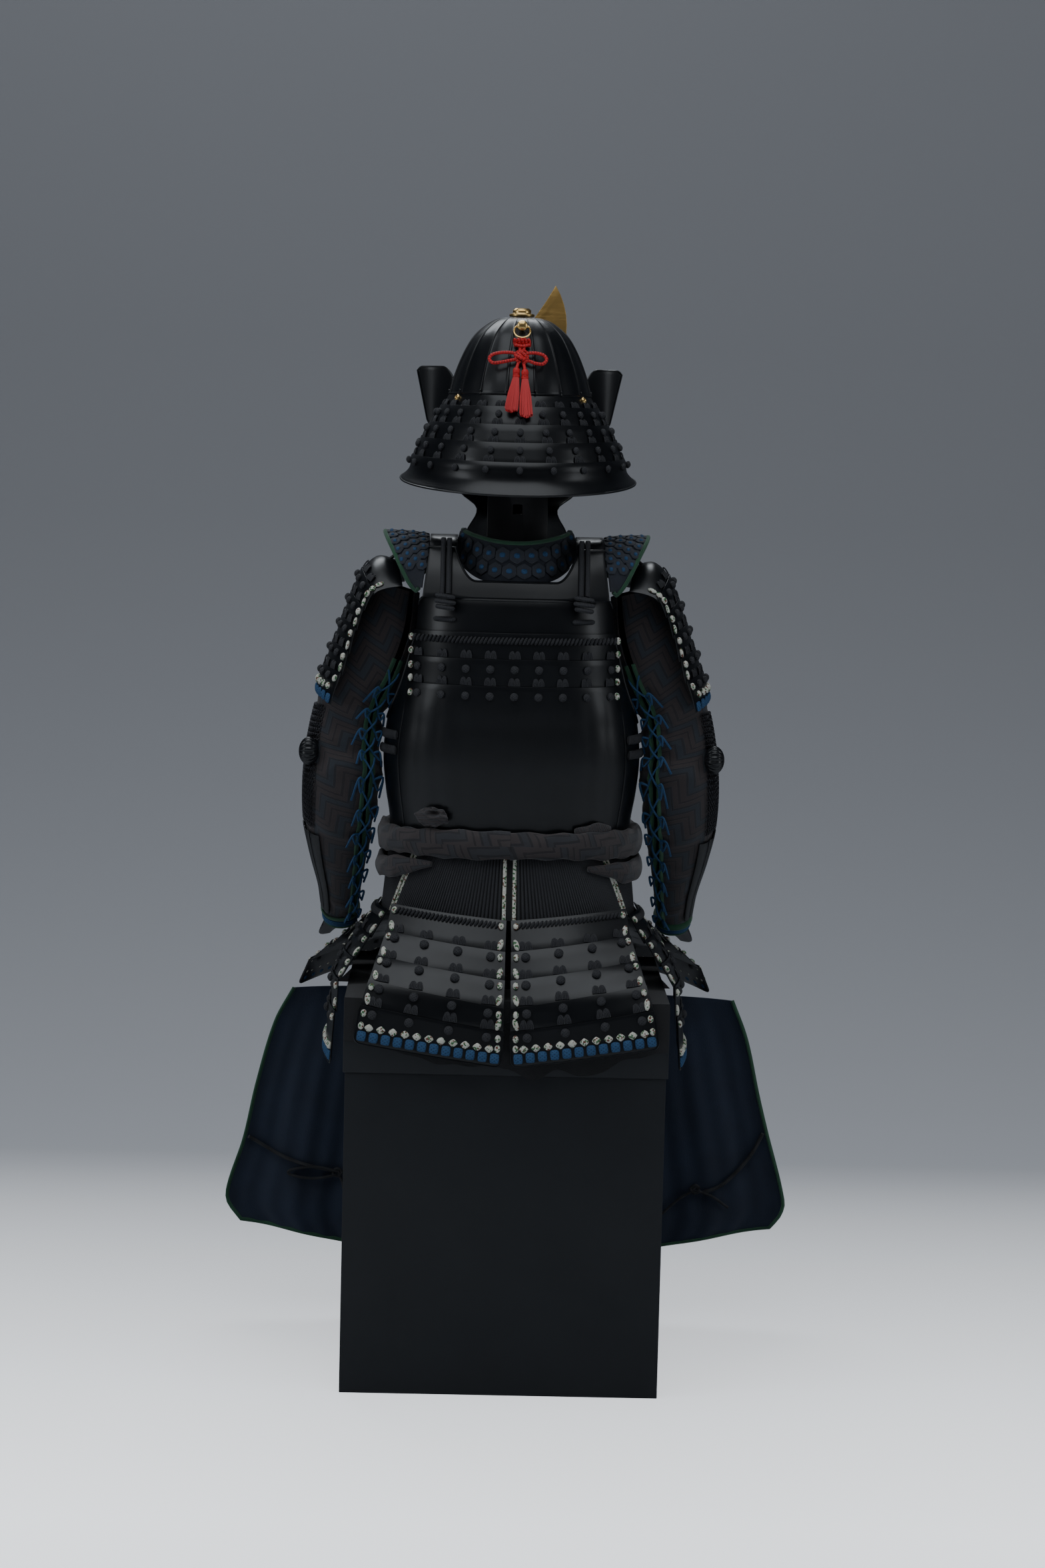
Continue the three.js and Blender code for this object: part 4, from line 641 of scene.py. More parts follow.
# Turnbacks and peak: the front ends of the neck guard, bent out beside the face with rounded
# corners and a thin rim, and the brim over the brow.
def turnback_face(side):
    def place(u, v):
        corner = 16 * (1 - min(u / 0.3, 1)) ** 2
        round_low = 12 * max(0, (u - 0.6) / 0.4) ** 2
        top = 1493 - corner - 6 * max(0, (u - 0.85) / 0.15) ** 2
        z = mix(top, 1402 + round_low, v)
        outer = mix(154, 138, v)
        inner = mix(100, 110, v)
        y = mix(mix(-53.2, -61.4, v), -96, u) - 8 * math.sin(math.pi * u)
        return Vector((side * mix(inner, outer, u), y, z)) * mm
    return place


for name, side in (("left", 1), ("right", -1)):
    place = turnback_face(side)
    leaf = worked_sheet(f"turnback_leaf_{name}", place, even(18), even(16), 1.8,
                        lambda point: Vector((point.x, 0.03, 0)), eased=0.5)
    finished(leaf, iron_lacquer, "lacquer", f"turnback_{name}", body="helmet")
    border = [place(u, 0) for u in even(16)] + [place(1, v) for v in even(12)[1:]]
    border += [place(1 - u, 1) for u in even(16)[1:]]
    rim = piece_of(f"turnback_rim_{name}", [tube_part(border, 1.3 * mm, 6)])
    finished(rim, iron_lacquer, "lacquer", body="helmet")


def peak_face(u, v):
    degrees = mix(128, 232, u)
    reach = 38 * v * (0.55 + 0.45 * math.sin(math.pi * u))
    turn = math.radians(degrees)
    return Vector(((104 + reach) * math.sin(turn), (117 + reach) * math.cos(turn),
                   1450.9 - 16 * v)) * mm


peak = worked_sheet("brow_peak", peak_face, even(40), even(8), 1.8, lambda point: Vector((0, 0, 1)))
finished(peak, iron_lacquer, "lacquer", "helmet_peak", body="helmet")


# Gilt fittings: the stepped ring on the crown, the crescent crest in its socket, and the post with
# the ring that the red cord is tied to, all of brass with a brushed gilding.
def gilding(name, color, roughness, stretch):
    material, tree, shader, place = new_material(name, color, roughness, 1.0)
    brush = noise(tree, place, 220, 4, stretch)
    tree.links.new(spread(tree, brush, roughness - 0.08, roughness + 0.14), shader.inputs["Roughness"])
    tone = graded(tree, noise(tree, place, 30, 3), [(0.3, color), (0.75, tuple(c * 0.78 for c in color))])
    tree.links.new(tone, shader.inputs["Base Color"])
    bumped(tree, shader, brush, 0.0001, 0.6)
    return material


gilt = gilding("gilt", (0.86, 0.6, 0.24), 0.26, (1, 1, 1))
crest_gilt = gilding("crest_gilt", (0.78, 0.5, 0.17), 0.36, (0.12, 1, 2.5))


def turned(name, profile, place, steps=48):
    """A turned piece: profile holds (radius, height) in mm and place(x, y, h) sets each point."""
    count = len(profile)
    def ring(u, v):
        radius, height = profile[min(int(round(v * (count - 1))), count - 1)]
        turn = 2 * math.pi * u
        return place(radius * math.cos(turn), radius * math.sin(turn), height)
    piece = shaped_grid(name, ring, even(steps), even(count - 1))
    merged(piece)
    make_active(piece)
    bpy.ops.object.mode_set(mode="EDIT")
    bpy.ops.mesh.select_all(action="SELECT")
    bpy.ops.mesh.normals_make_consistent(inside=False)
    bpy.ops.object.mode_set(mode="OBJECT")
    bpy.ops.object.shade_smooth_by_angle(angle=math.radians(32))
    return piece


crown_z = 1568.4
ring_profile = [(8, 0), (18.2, -1), (18.6, 0), (18.6, 2), (18, 2.8), (14.2, 3.4), (13.4, 4.4), (13.4, 7),
                (13.8, 7.6), (13.2, 8.4), (11.4, 10.4), (10.6, 11), (8.4, 11), (8, 10.4), (8, 0)]
top_ring = turned("crown_ring", ring_profile, lambda x, y, h: Vector((x, y, crown_z + h)) * mm)
finished(top_ring, gilt, "gilt", "helmet_top_ring", body="helmet")
crest = smooth_copy("helmet_crest", "crest_crescent", crest_gilt, levels=0, eased=0.5, body="helmet")


def behind_bowl(z, clear):
    """How far back, in mm, a thing lies that is clear of the bowl's rear by so much."""
    return bowl_point(0, z, 2 + clear).y / mm


post_z = 1552
post_y = behind_bowl(post_z - 3, 0)
post_profile = [(0, -1), (3, -1), (3, 4.5), (5.4, 6), (7.6, 8), (8, 10), (7, 12.6), (4.4, 14.4), (1.6, 15),
                (0, 15.1)]
post = turned("cord_post", post_profile, lambda x, y, h: Vector((x, post_y + h, post_z + y)) * mm, 28)
hoop_line = []
for turn in even(40)[:-1]:
    angle = 2 * math.pi * turn
    z = post_z - 8 + 12 * math.cos(angle) * 0.8
    hoop_line.append(Vector((12 * math.sin(angle), behind_bowl(z, 7), z)) * mm)
hoop = piece_of("cord_hoop", [tube_part(hoop_line, 1.5 * mm, 8, closed=True)])
finished(join_pieces("cord_ring_and_post", [post, hoop]), gilt, "gilt", "helmet_cord_ring", body="helmet")


# Red cord: a braided silk cord wound round the ring's shank, with two short runs down to a knot with
# two loops, and two tassels bound at the head.
def silk(name, color, painted_groove_shade, ridges, slant, rough=0.62, bump=0.0003):
    """Braided or twisted thread: its ridges follow the piece's own map, and its grooves are darkened with
    painted shade.
    """
    material, tree, shader, _ = new_material(name, color, rough)
    skin = tree.nodes.new("ShaderNodeTexCoord").outputs["UV"]
    split = add_node(tree, "SeparateXYZ", Vector=skin)
    around = add_node(tree, "Math", {"operation": "MULTIPLY"}, _0=split.outputs[0], _1=slant).outputs[0]
    along = add_node(tree, "Math", {"operation": "MULTIPLY"}, _0=split.outputs[1], _1=ridges).outputs[0]
    both = add_node(tree, "Math", {"operation": "ADD"}, _0=around, _1=along).outputs[0]
    other = add_node(tree, "Math", {"operation": "SUBTRACT"}, _0=along, _1=around).outputs[0]
    waves = []
    for value in (both, other):
        turned_value = add_node(tree, "Math", {"operation": "MULTIPLY"}, _0=value, _1=2 * math.pi).outputs[0]
        waves.append(add_node(tree, "Math", {"operation": "SINE"}, _0=turned_value).outputs[0])
    crossed = add_node(tree, "Math", {"operation": "MAXIMUM"}, _0=waves[0], _1=waves[1]).outputs[0]
    lifted = add_node(tree, "MapRange", Value=crossed, From_Min=-1.0, From_Max=1.0).outputs[0]
    # Painted shade: the colour darkens to the second, shaded colour in the grooves between the ridges, in
    # step with the bump.
    tree.links.new(graded(tree, lifted, [(0.05, painted_groove_shade), (0.6, color)]), shader.inputs["Base Color"])
    bumped(tree, shader, lifted, bump)
    return material


red_silk = silk("red_silk", (0.62, 0.012, 0.014), (0.2, 0.002, 0.004), 260, 1)
red_strand = new_material("red_strand", (0.6, 0.012, 0.014), 0.55)[0]


def bow_line(points, clear, steps=7):
    return rounded([Vector((x, behind_bowl(z, clear + extra), z)) * mm for x, z, extra in points], steps)


def full_turn(count):
    """Angles once round, evenly apart."""
    return [2 * math.pi * i / count for i in range(count)]


bow_parts = []
for x, y in ((-10, 0), (-5, 1), (0, 1.4), (5, 1), (10, 0)):
    wrap = [Vector((x + 1.5 * math.cos(a), behind_bowl(1527, 6.5 + y) + 3.4 * math.sin(a) * 0.6,
                    1527 + 5 * math.sin(a + 0.5))) * mm for a in full_turn(14)]
    bow_parts.append(tube_part(wrap, 1.9 * mm, 7, closed=True))
bow_parts.append(tube_part(bow_line([(-11, 1529, 0), (0, 1531, 1.5), (11, 1529, 0)], 7), 2.3 * mm, 8))
bow_parts.append(tube_part(bow_line([(-11, 1524, 0), (0, 1522, 1.5), (11, 1524, 0)], 7), 2.3 * mm, 8))
for x in (-3, 3):
    shank = [(x, 1529, 0), (x * 0.9, 1518, 0), (x * 0.7, 1506, 0)]
    bow_parts.append(tube_part(bow_line(shank, 5.5), 2.4 * mm, 8))
loop_left = [(2, 1508, 0), (14, 1512, 1), (29, 1512, 0), (42, 1509, -1), (47, 1503, -2), (42, 1497, -1),
             (30, 1498, 0), (16, 1501, 1), (2, 1504, 1)]
loop_right = [(-2, 1509, 0), (-12, 1512, 1), (-23, 1512, 0), (-32, 1509, -1), (-36, 1503, -2),
              (-31, 1497, -1), (-22, 1497, 0), (-12, 1500, 1), (-2, 1504, 1)]
for loop in (loop_left, loop_right):
    bow_parts.append(tube_part(bow_line(loop, 6.0), 2.4 * mm, 8))
knot_turns = [[(-8, 1512, 0), (-2, 1515, 3), (5, 1510, 5), (8, 1503, 3), (2, 1498, 1)],
              [(8, 1512, 0), (3, 1514, 4), (-4, 1509, 6), (-8, 1502, 3), (-2, 1497, 1)],
              [(-9, 1507, 1), (-2, 1503, 6), (4, 1506, 7), (10, 1508, 2)],
              [(-6, 1500, 2), (1, 1507, 7), (6, 1512, 4)]]
for turns in knot_turns:
    bow_parts.append(tube_part(bow_line(turns, 6.5), 2.4 * mm, 8))
bow = piece_of("red_cord_bow", bow_parts)
finished(bow, red_silk, "red_silk", "helmet_cord_bow", body="helmet")


def tassel(side, head_x, head_top, end_x, end_y, end_z, seed):
    """A tassel: a smooth head bound with thread, and a skirt of fine strands cut uneven."""
    chance = random.Random(seed)
    head_z = head_top - 7
    head_y = behind_bowl(head_z, 7.5)
    def place(x, y, h):
        return Vector((head_x + x, head_y + y, head_z + h)) * mm
    profile = [(0, 7.2), (2.4, 6.8), (4.4, 5), (5.2, 2.4), (5.1, -0.6), (4.2, -1.4), (4.2, -3.4), (5.1, -4.2),
               (5.5, -6), (4.6, -8), (0, -8)]
    head = turned(f"tassel_head_{side}", profile, place, 20)
    hanger_top = Vector((mix(head_x, 1, 0.5), behind_bowl(1500, 6.5), 1500)) * mm
    parts = [tube_part([place(0, 0, 5), (place(0, 0, 5) + hanger_top) / 2, hanger_top], 2.2 * mm, 8)]
    for row in range(3):
        ring = [place(4.5 * math.cos(a), 4.5 * math.sin(a), -1.7 - 0.8 * row) for a in full_turn(16)]
        parts.append(tube_part(ring, 0.55 * mm, 5, closed=True))
    for i in range(150):
        reach = math.sqrt((i + 0.5) / 150)
        turn = i * 2.39996
        dx, dy = reach * math.cos(turn), reach * math.sin(turn)
        ragged = chance.uniform(-2.0, 2.6)
        top = place(3.9 * dx, 3.9 * dy, -5)
        tip = Vector((end_x + 9.6 * dx + chance.uniform(-0.5, 0.5), end_y + 5.2 * dy,
                      end_z + 3 * abs(dx) + ragged)) * mm
        middle = top.lerp(tip, 0.55) + Vector((dx * 1.1, dy * 0.8, 0)) * mm
        parts.append(tube_part([top, middle, tip], [0.6 * mm, 0.72 * mm, 0.62 * mm], 4))
    skirt = piece_of(f"tassel_skirt_{side}", parts)
    whole = join_pieces(f"tassel_{side}_threads", [skirt, head])
    finished(whole, red_strand, "red_silk", f"helmet_tassel_{side}", body="helmet")


tassel("left", 7.5, 1491, 13.5, 142, 1427, 3)
tassel("right", -5, 1489, -8, 146, 1420, 4)


# Throat guard: a plain lacquered guard for chin and cheeks that runs down over the throat, open
# behind and cut down in a shallow curve in front.
def straight(rows, at, column):
    for before, after in zip(rows, rows[1:]):
        if before[0] <= at <= after[0]:
            return mix(before[column], after[column], (at - before[0]) / (after[0] - before[0]))
    return rows[0][column] if at < rows[0][0] else rows[-1][column]


def curve_between(rows, at, column):
    return between([(row[0], row[column]) for row in rows], at)


def oval(degrees, half_width, half_depth, middle_y, z, power):
    turn = math.radians(degrees)
    def share(value):
        return math.copysign(abs(value) ** power, value)
    return Vector((half_width * share(math.sin(turn)), middle_y + half_depth * share(math.cos(turn)), z)) * mm


throat_rows = [(1226, 84, 112), (1252, 76, 100), (1284, 62, 88), (1307, 88, 102), (1340, 92, 108),
               (1386, 91, 104)]


def throat_face(u, v):
    degrees = mix(102, 258, u)
    mouth = 34 * max(0, -math.cos(math.radians(degrees)) - 0.45) ** 0.5
    z = mix(1386 - mouth, 1226, v)
    return oval(degrees, curve_between(throat_rows, z, 1), curve_between(throat_rows, z, 2), -8, z, 1)


throat = worked_sheet("throat_and_cheeks", throat_face, even(40), even(28), 1.8, away_from_axis)
finished(throat, iron_lacquer, "lacquer", "throat_guard")


# Cuirass back: a top plate, two lames and the large lower plate, each lapped over the one above, with
# faint upright facets hammered into the lower plate.
body_rows = [(790, 177, 121, 8), (830, 180.5, 125, 8), (870, 187, 131, 7), (925, 191, 138, 6),
             (985, 184, 142, 4), (1035, 173, 142, 2), (1105, 167, 138, 0), (1158, 162, 132, -3)]
body_power = 2 / 2.4


def body_point(degrees, z, out=0.0):
    return oval(degrees, curve_between(body_rows, z, 1) + out, curve_between(body_rows, z, 2) + out,
                curve_between(body_rows, z, 3), z, body_power)


back_lames = {"back_upper_plate": (1155, 1105), "back_lame_upper": (1105, 1067),
              "back_lame_lower": (1067, 1028), "back_lower_plate": (1028, 790)}
back_half_angle, body_lap, body_step = 58, 3, 3.2


def rounded_edge(u, width, radius):
    """How far, in mm, a corner of that radius has cut into the edge at u."""
    near = min(u, 1 - u) * width
    if near >= radius:
        return 0.0
    return radius - math.sqrt(max(radius ** 2 - (radius - near) ** 2, 0))


def dense_ends(count, width, radius):
    """Places from 0 to 1, closer together at both ends where the corners are rounded."""
    bend = radius / width
    ends = [bend * (1 - math.cos(math.pi / 2 * i / 4)) for i in range(4)]
    return ends + even(count, bend, 1 - bend) + [1 - place for place in reversed(ends)]


for name, (top, bottom) in back_lames.items():
    first, last = name == "back_upper_plate", name == "back_lower_plate"
    def place(u, v, top=top, bottom=bottom, first=first, last=last):
        degrees = mix(-back_half_angle, back_half_angle, u)
        high = top + (0 if first else body_lap) - (rounded_edge(u, 294, 12) if first else 0)
        low = bottom - (0 if last else body_lap)
        z = mix(high, low, v)
        fade = 0.25 if last else 1.0
        out = 0 if first else body_step * max(1 - v / fade, 0)
        if last:
            out += 0.7 * abs(math.sin(math.pi * u * 9)) * min(1, v * 4)
        return body_point(degrees, z, out)
    rows = even(30 if last else 5)
    plate = worked_sheet(f"{name}_iron", place, dense_ends(72 if last else 40, 294, 12), rows, 1.8,
                         away_from_axis, eased=0.5, smooth=25)
    finished(plate, iron_lacquer, "lacquer", name)

upper_rim = [body_point(mix(-back_half_angle, back_half_angle, u), 1155 - rounded_edge(u, 294, 12), -0.4)
             for u in dense_ends(40, 294, 12)]
back_rim = piece_of("back_plate_rim", [tube_part(upper_rim, 1.7 * mm, 8)])
finished(back_rim, iron_lacquer, "lacquer")


# Cuirass sides and front: side plates cut down under the arms with a turned rim, a plain lower front
# plate and a smaller chest plate above it.
armhole_rows = [(58, 1098), (66, 1052), (76, 998), (88, 972), (100, 984), (118, 1050)]
for name, side in (("left", 1), ("right", -1)):
    def place(u, v, side=side):
        degrees = mix(58.4, 117.6, u)
        return body_point(side * degrees, mix(curve_between(armhole_rows, degrees, 1), 790, v))
    plate = worked_sheet(f"side_iron_{name}", place, even(36), even(20), 1.8, away_from_axis)
    finished(plate, iron_lacquer, "lacquer", f"side_plate_{name}")
    rim = piece_of(f"armhole_rim_{name}", [tube_part([place(u, 0) for u in even(40)], 2.2 * mm, 8)])
    finished(rim, iron_lacquer, "lacquer")


def front_face(top, bottom, spare):
    def place(u, v):
        high = top - rounded_edge(u, 300, 14)
        return body_point(mix(118 + spare, 242 - spare, u), mix(high, bottom, v))
    return place


front_low = worked_sheet("front_iron", front_face(1062, 790, 0), dense_ends(48, 300, 14), even(16), 1.8,
                         away_from_axis)
finished(front_low, iron_lacquer, "lacquer", "front_lower_plate")
front_high = worked_sheet("chest_iron", front_face(1128, 1062.3, 8), dense_ends(40, 300, 14), even(6), 1.8,
                          away_from_axis)
finished(front_high, iron_lacquer, "lacquer", "front_upper_plate")


# Yoke: the lacquered plate below the neck with its round neckline and turned rim, and the straps that
# pass over the shoulders.
yoke_lean = [(1150, 131), (1180, 119.5), (1205, 108), (1232, 88)]
strap_rows = [(0, 92, 1227), (0.16, 66, 1241), (0.32, 24, 1246), (0.5, -22, 1238), (0.68, -66, 1210),
              (0.84, -100, 1172), (1, -117, 1132)]
yoke_low, yoke_high = 1155, 1228


def neckline_z(x):
    return min(yoke_high, 1181 + 0.04 * max(0, abs(x) - 55) ** 2)


def yoke_face(u, v):
    across = mix(-1, 1, u)
    z = mix(neckline_z(across * 128), yoke_low + 1.5, v)
    x = across * mix(137, 128, (z - yoke_low) / (yoke_high - yoke_low))
    return Vector((x, between(yoke_lean, z) - 20 * (x / 137) ** 2, z)) * mm


def strap_face(side):
    def place(u, v):
        x = mix(87, 127, u)
        back = 20 * (x / 137) ** 2 * max(0, 1 - v / 0.3)
        y = curve_between(strap_rows, v, 1) - back
        return Vector((side * x, y, curve_between(strap_rows, v, 2))) * mm
    return place


def away_from_chest(point):
    return point - Vector((0, 0, 1.1))


yoke_pieces = [worked_sheet("yoke_iron", yoke_face, even(60), even(10), 2.6, away_from_axis, eased=0.6)]
for side in (1, -1):
    yoke_pieces.append(worked_sheet("strap_iron", strap_face(side), even(6), even(40), 2.6, away_from_chest,
                                    eased=0.6))
neck_rim = [yoke_face(u, 0) for u in even(80)]
yoke_pieces.append(piece_of("neckline_rim", [tube_part(neck_rim, 1.8 * mm, 8)]))
finished(join_pieces("yoke_and_straps", yoke_pieces), iron_lacquer, "lacquer", "yoke")


# Collar and shoulder wings: padded bands of dark cloth that carry small hexagon plates, bound along
# their edges with green piping.
def thick_cloth(name, color, other, scale, rough=0.85, depth=0.0003):
    """Woven cloth on the piece's own coordinates, with a slight change of tone."""
    material, tree, shader, place = new_material(name, color, rough)
    tone = graded(tree, noise(tree, place, 26, 4), [(0.35, color), (0.7, other)])
    tree.links.new(tone, shader.inputs["Base Color"])
    weave = add_node(tree, "TexVoronoi", Vector=place, Scale=scale).outputs["Distance"]
    bumped(tree, shader, weave, depth)
    shader.inputs["Sheen Weight"].default_value = 0.2
    return material


brigandine_cloth = thick_cloth("brigandine_cloth", (0.009, 0.012, 0.02), (0.014, 0.018, 0.03), 1100)
green_cloth = thick_cloth("green_cloth", (0.012, 0.062, 0.03), (0.022, 0.095, 0.045), 1300)


def collar_face(u, v):
    degrees = mix(-96, 96, u)
    sideways = math.sin(math.radians(degrees)) ** 2
    top = 1237 + 15 * sideways
    at_end = min(max(0, sideways - 0.86) / 0.08, 1)
    bottom = min(1178 + 28 * sideways ** 1.8 + 44 * at_end, top - 6)
    return oval(degrees, mix(80, 85.5, v), mix(97, 111.3, v), 5, mix(top, bottom, v), 1)


collar = worked_sheet("collar_band", collar_face, even(72), even(10), 2.8, away_from_axis, eased=0.8)
finished(collar, brigandine_cloth, "brigandine", "collar")
wing_root = [(0, 138.1, 103, 1170), (0.25, 129.5, 76, 1222), (0.5, 128.5, 20, 1244), (0.75, 128.5, -40, 1228),
             (1, 129.5, -86, 1190)]


def wing_face(side):
    def place(u, v):
        width = 8 + 58 * max(math.sin(math.pi * u), 0) ** 0.8
        x = curve_between(wing_root, u, 1) + width * v
        z = curve_between(wing_root, u, 3) + 10 * math.sin(math.pi * u) * v - 6 * v * v
        return Vector((side * x, curve_between(wing_root, u, 2) - 10 * v * math.cos(math.pi * u), z)) * mm
    return place


for name, side in (("left", 1), ("right", -1)):
    wing = worked_sheet(f"wing_pad_{name}", wing_face(side), even(44), even(10), 2.8, away_from_chest,
                        eased=0.8)
    finished(wing, brigandine_cloth, "brigandine", f"shoulder_wing_{name}")


# Shoulder shields: a domed cap and five lames down the outside of each upper arm, hung from the wing
# by a short cord.
shield_rows = [(0, 174, 1203, 166, 1170, 78), (0.09, 203, 1211, 190, 1166, 82),
               (0.2, 226, 1192, 207, 1158, 88), (0.36, 241, 1158, 220, 1136, 91),
               (0.52, 254, 1122, 231, 1107, 93), (0.68, 267, 1085, 241, 1073, 95),
               (0.84, 280, 1050, 251, 1041, 95), (0.95, 289.5, 1023, 262, 1014, 94),
               (1, 290, 1008, 268, 995, 92)]
shield_tops = [0.2, 0.36, 0.52, 0.68, 0.84]
shield_step = 3.4


def shield_bare(side, u, v):
    across = mix(1, -1, u)
    x = mix(curve_between(shield_rows, v, 1), curve_between(shield_rows, v, 3), across ** 2)
    z = mix(curve_between(shield_rows, v, 2), curve_between(shield_rows, v, 4), across ** 2)
    return Vector((side * x, across * curve_between(shield_rows, v, 5), z)) * mm


def normal_of(place, u, v, away):
    """The outward normal and the downward direction of a surface."""
    tiny = 0.004
    along = place(min(u + tiny, 1), v) - place(max(u - tiny, 0), v)
    down = place(u, min(v + tiny, 1)) - place(u, max(v - tiny, 0))
    normal = along.cross(down).normalized()
    if normal.dot(away(place(u, v))) < 0:
        normal.negate()
    return normal, down.normalized()


def away_from_arm(point):
    side = 1 if point.x > 0 else -1
    return point - Vector((side * 0.15, 0, 1.05))


def shield_point(side, u, v, out):
    def bare(a, b):
        return shield_bare(side, a, b)
    normal, _ = normal_of(bare, u, v, away_from_arm)
    return bare(u, v) + normal * (out * mm)


def shield_lame(side, k):
    """Lame k of a shield, or its cap for k of -1: its outer face, and how far out it lies."""
    start = 0.0 if k < 0 else shield_tops[k]
    end = 1.0 if k == 4 else shield_tops[k + 1]
    lap = 0 if k == 4 else 0.016
    def place(u, w):
        v = mix(start, end + lap, w)
        out = 0.5 if k < 0 else mix(shield_step, 0.4, min((v - start) / (end - start), 1))
        return shield_point(side, u, v, out)
    return place


shield_hanger = [(188, 1206), (174, 1218), (167, 1232), (166, 1242.1)]
for name, side in (("left", 1), ("right", -1)):
    lames = []
    for k in range(-1, 5):
        rows = even(8 if k in (-1, 4) else 3)
        lames.append(worked_sheet("shield_lame", shield_lame(side, k), even(28), rows, 1.6, away_from_arm))
    hanger = [Vector((side * x, 10, z)) * mm for x, z in shield_hanger]
    lames.append(piece_of("shield_hanger", [tube_part(rounded(hanger, 5), 2.5 * mm, 8)]))
    finished(join_pieces(f"shield_{name}", lames), iron_lacquer, "lacquer", f"shoulder_shield_{name}")


# Sleeves: tubes of figured cloth woven in slanting bands, gathered in soft creases at the elbow and
# open along the inner seam, where they are laced.
sleeve_rows = [(0, 176, 2, 1166, 36, 44), (0.1, 192, 2, 1108, 50, 50), (0.2, 214.4, 2, 1050, 54, 53),
               (0.31, 240.4, 3, 990, 50, 51), (0.42, 250, 6, 932, 53, 49), (0.53, 252, 8, 876, 56, 46),
               (0.64, 256, -12, 820, 51.5, 42), (0.73, 256, -40, 774, 44, 38), (0.84, 254, -78, 718, 33, 34),
               (0.92, 255, -104, 680, 27.5, 30), (1, 256, -125, 650, 24, 26)]
sleeve_seam, sleeve_gap = 130, 8


def sleeve_frame(v):
    def middle(at):
        return Vector([curve_between(sleeve_rows, at, column) for column in (1, 2, 3)])
    down = (middle(min(v + 0.01, 1)) - middle(max(v - 0.01, 0))).normalized()
    outward = (Vector((1, 0, 0)) - down * down.x).normalized()
    backward = outward.cross(down).normalized()
    if backward.y < 0:
        backward.negate()
    return middle(v), outward, backward


def sleeve_point(side, degrees, v, out=0.0):
    """A point of a sleeve: 0 degrees is its outer side, 90 its back and 180 its inner side."""
    middle, outward, backward = sleeve_frame(v)
    turn = math.radians(degrees)
    def share(value):
        return math.copysign(abs(value) ** (2 / 2.3), value)
    point = middle + outward * ((curve_between(sleeve_rows, v, 4) + out) * share(math.cos(turn)))
    point += backward * ((curve_between(sleeve_rows, v, 5) + out) * share(math.sin(turn)))
    return Vector((side * point.x, point.y, point.z)) * mm


# Each fold of a sleeve: its place from top to cuff, its height in mm, its width and its slant.
sleeve_folds = [(0.27, 3.5, 0.02, 0.05), (0.335, 2.6, 0.013, -0.04), (0.4, 3.8, 0.018, 0.03),
                (0.455, 2.6, 0.012, -0.05), (0.5, 4.2, 0.018, 0.03), (0.55, 3.0, 0.012, 0.06),
                (0.6, 3.8, 0.018, -0.03), (0.68, 2.4, 0.013, 0.04), (0.74, 1.8, 0.012, -0.03),
                (0.79, 2.0, 0.014, -0.05), (0.86, 1.6, 0.012, 0.04)]


def sleeve_creases(u, v):
    """Soft folds: strong round the elbow and the armpit, weak down the forearm, in mm."""
    rise = 0.0
    for at, high, width, slant in sleeve_folds:
        line = at + slant * math.sin(2 * math.pi * u + 9 * at)
        rise += high * math.exp(-((v - line) / width) ** 2)
    rise += 0.7 * math.sin(21 * v + 7 * u) * math.sin(9 * u + 3)
    return rise


def sleeve_face(side):
    start, end = sleeve_seam + sleeve_gap - 360, sleeve_seam - sleeve_gap
    def place(u, v):
        degrees = mix(start, end, u)
        bare = min(max((abs(degrees) - 52) / 24, 0), 1) if 0.33 < v < 0.95 else 1
        return sleeve_point(side, degrees, v, sleeve_creases(u, v) * bare - 0.4)
    return place


def figured_cloth(name, brown, blue, dark, across, down):
    """Cloth woven in slanting bands of zigzag and key pattern, on the piece's own map."""
    material, tree, shader, place = new_material(name, brown, 0.72)
    skin = tree.nodes.new("ShaderNodeTexCoord").outputs["UV"]
    turned_map = add_node(tree, "Mapping", Vector=skin, Rotation=(0, 0, 0.6), Scale=(across, down, 1))
    split = add_node(tree, "SeparateXYZ", Vector=turned_map.outputs[0])
    def math_node(kind, a, b=0.0):
        return add_node(tree, "Math", {"operation": kind}, _0=a, _1=b).outputs[0]
    zigzag = math_node("PINGPONG", split.outputs[0], 0.5)
    phase = math_node("ADD", split.outputs[1], math_node("MULTIPLY", zigzag, 1.3))
    wide = math_node("GREATER_THAN", math_node("FRACT", phase), 0.55)
    line = math_node("GREATER_THAN", math_node("FRACT", math_node("MULTIPLY", phase, 3.0)), 0.68)
    ground = add_node(tree, "MixRGB", _0=wide, _1=(*brown, 1), _2=(*blue, 1)).outputs[0]
    lined = math_node("MULTIPLY", line, 0.75)
    pattern = add_node(tree, "MixRGB", _0=lined, _1=ground, _2=(*dark, 1)).outputs[0]
    tree.links.new(pattern, shader.inputs["Base Color"])
    threads = add_node(tree, "TexVoronoi", Vector=place, Scale=1400.0).outputs["Distance"]
    height = math_node("ADD", threads, math_node("MULTIPLY", line, 0.6))
    bumped(tree, shader, height, 0.00025)
    shader.inputs["Sheen Weight"].default_value = 0.25
    return material


sleeve_brocade = figured_cloth("sleeve_brocade", (0.031, 0.022, 0.023), (0.016, 0.022, 0.032),
                               (0.008, 0.007, 0.01), 7, 17)
for name, side in (("left", 1), ("right", -1)):
    def away(point, side=side):
        v = min(max((1.150 - point.z) / 0.5, 0), 1)
        middle = sleeve_frame(v)[0] * mm
        return point - Vector((side * middle.x, middle.y, middle.z))
    sleeve = worked_sheet(f"sleeve_cloth_{name}", sleeve_face(side), even(56), even(120), 1.6, away,
                          eased=0.0, smooth=60)
    finished(sleeve, sleeve_brocade, "brocade", f"sleeve_{name}")


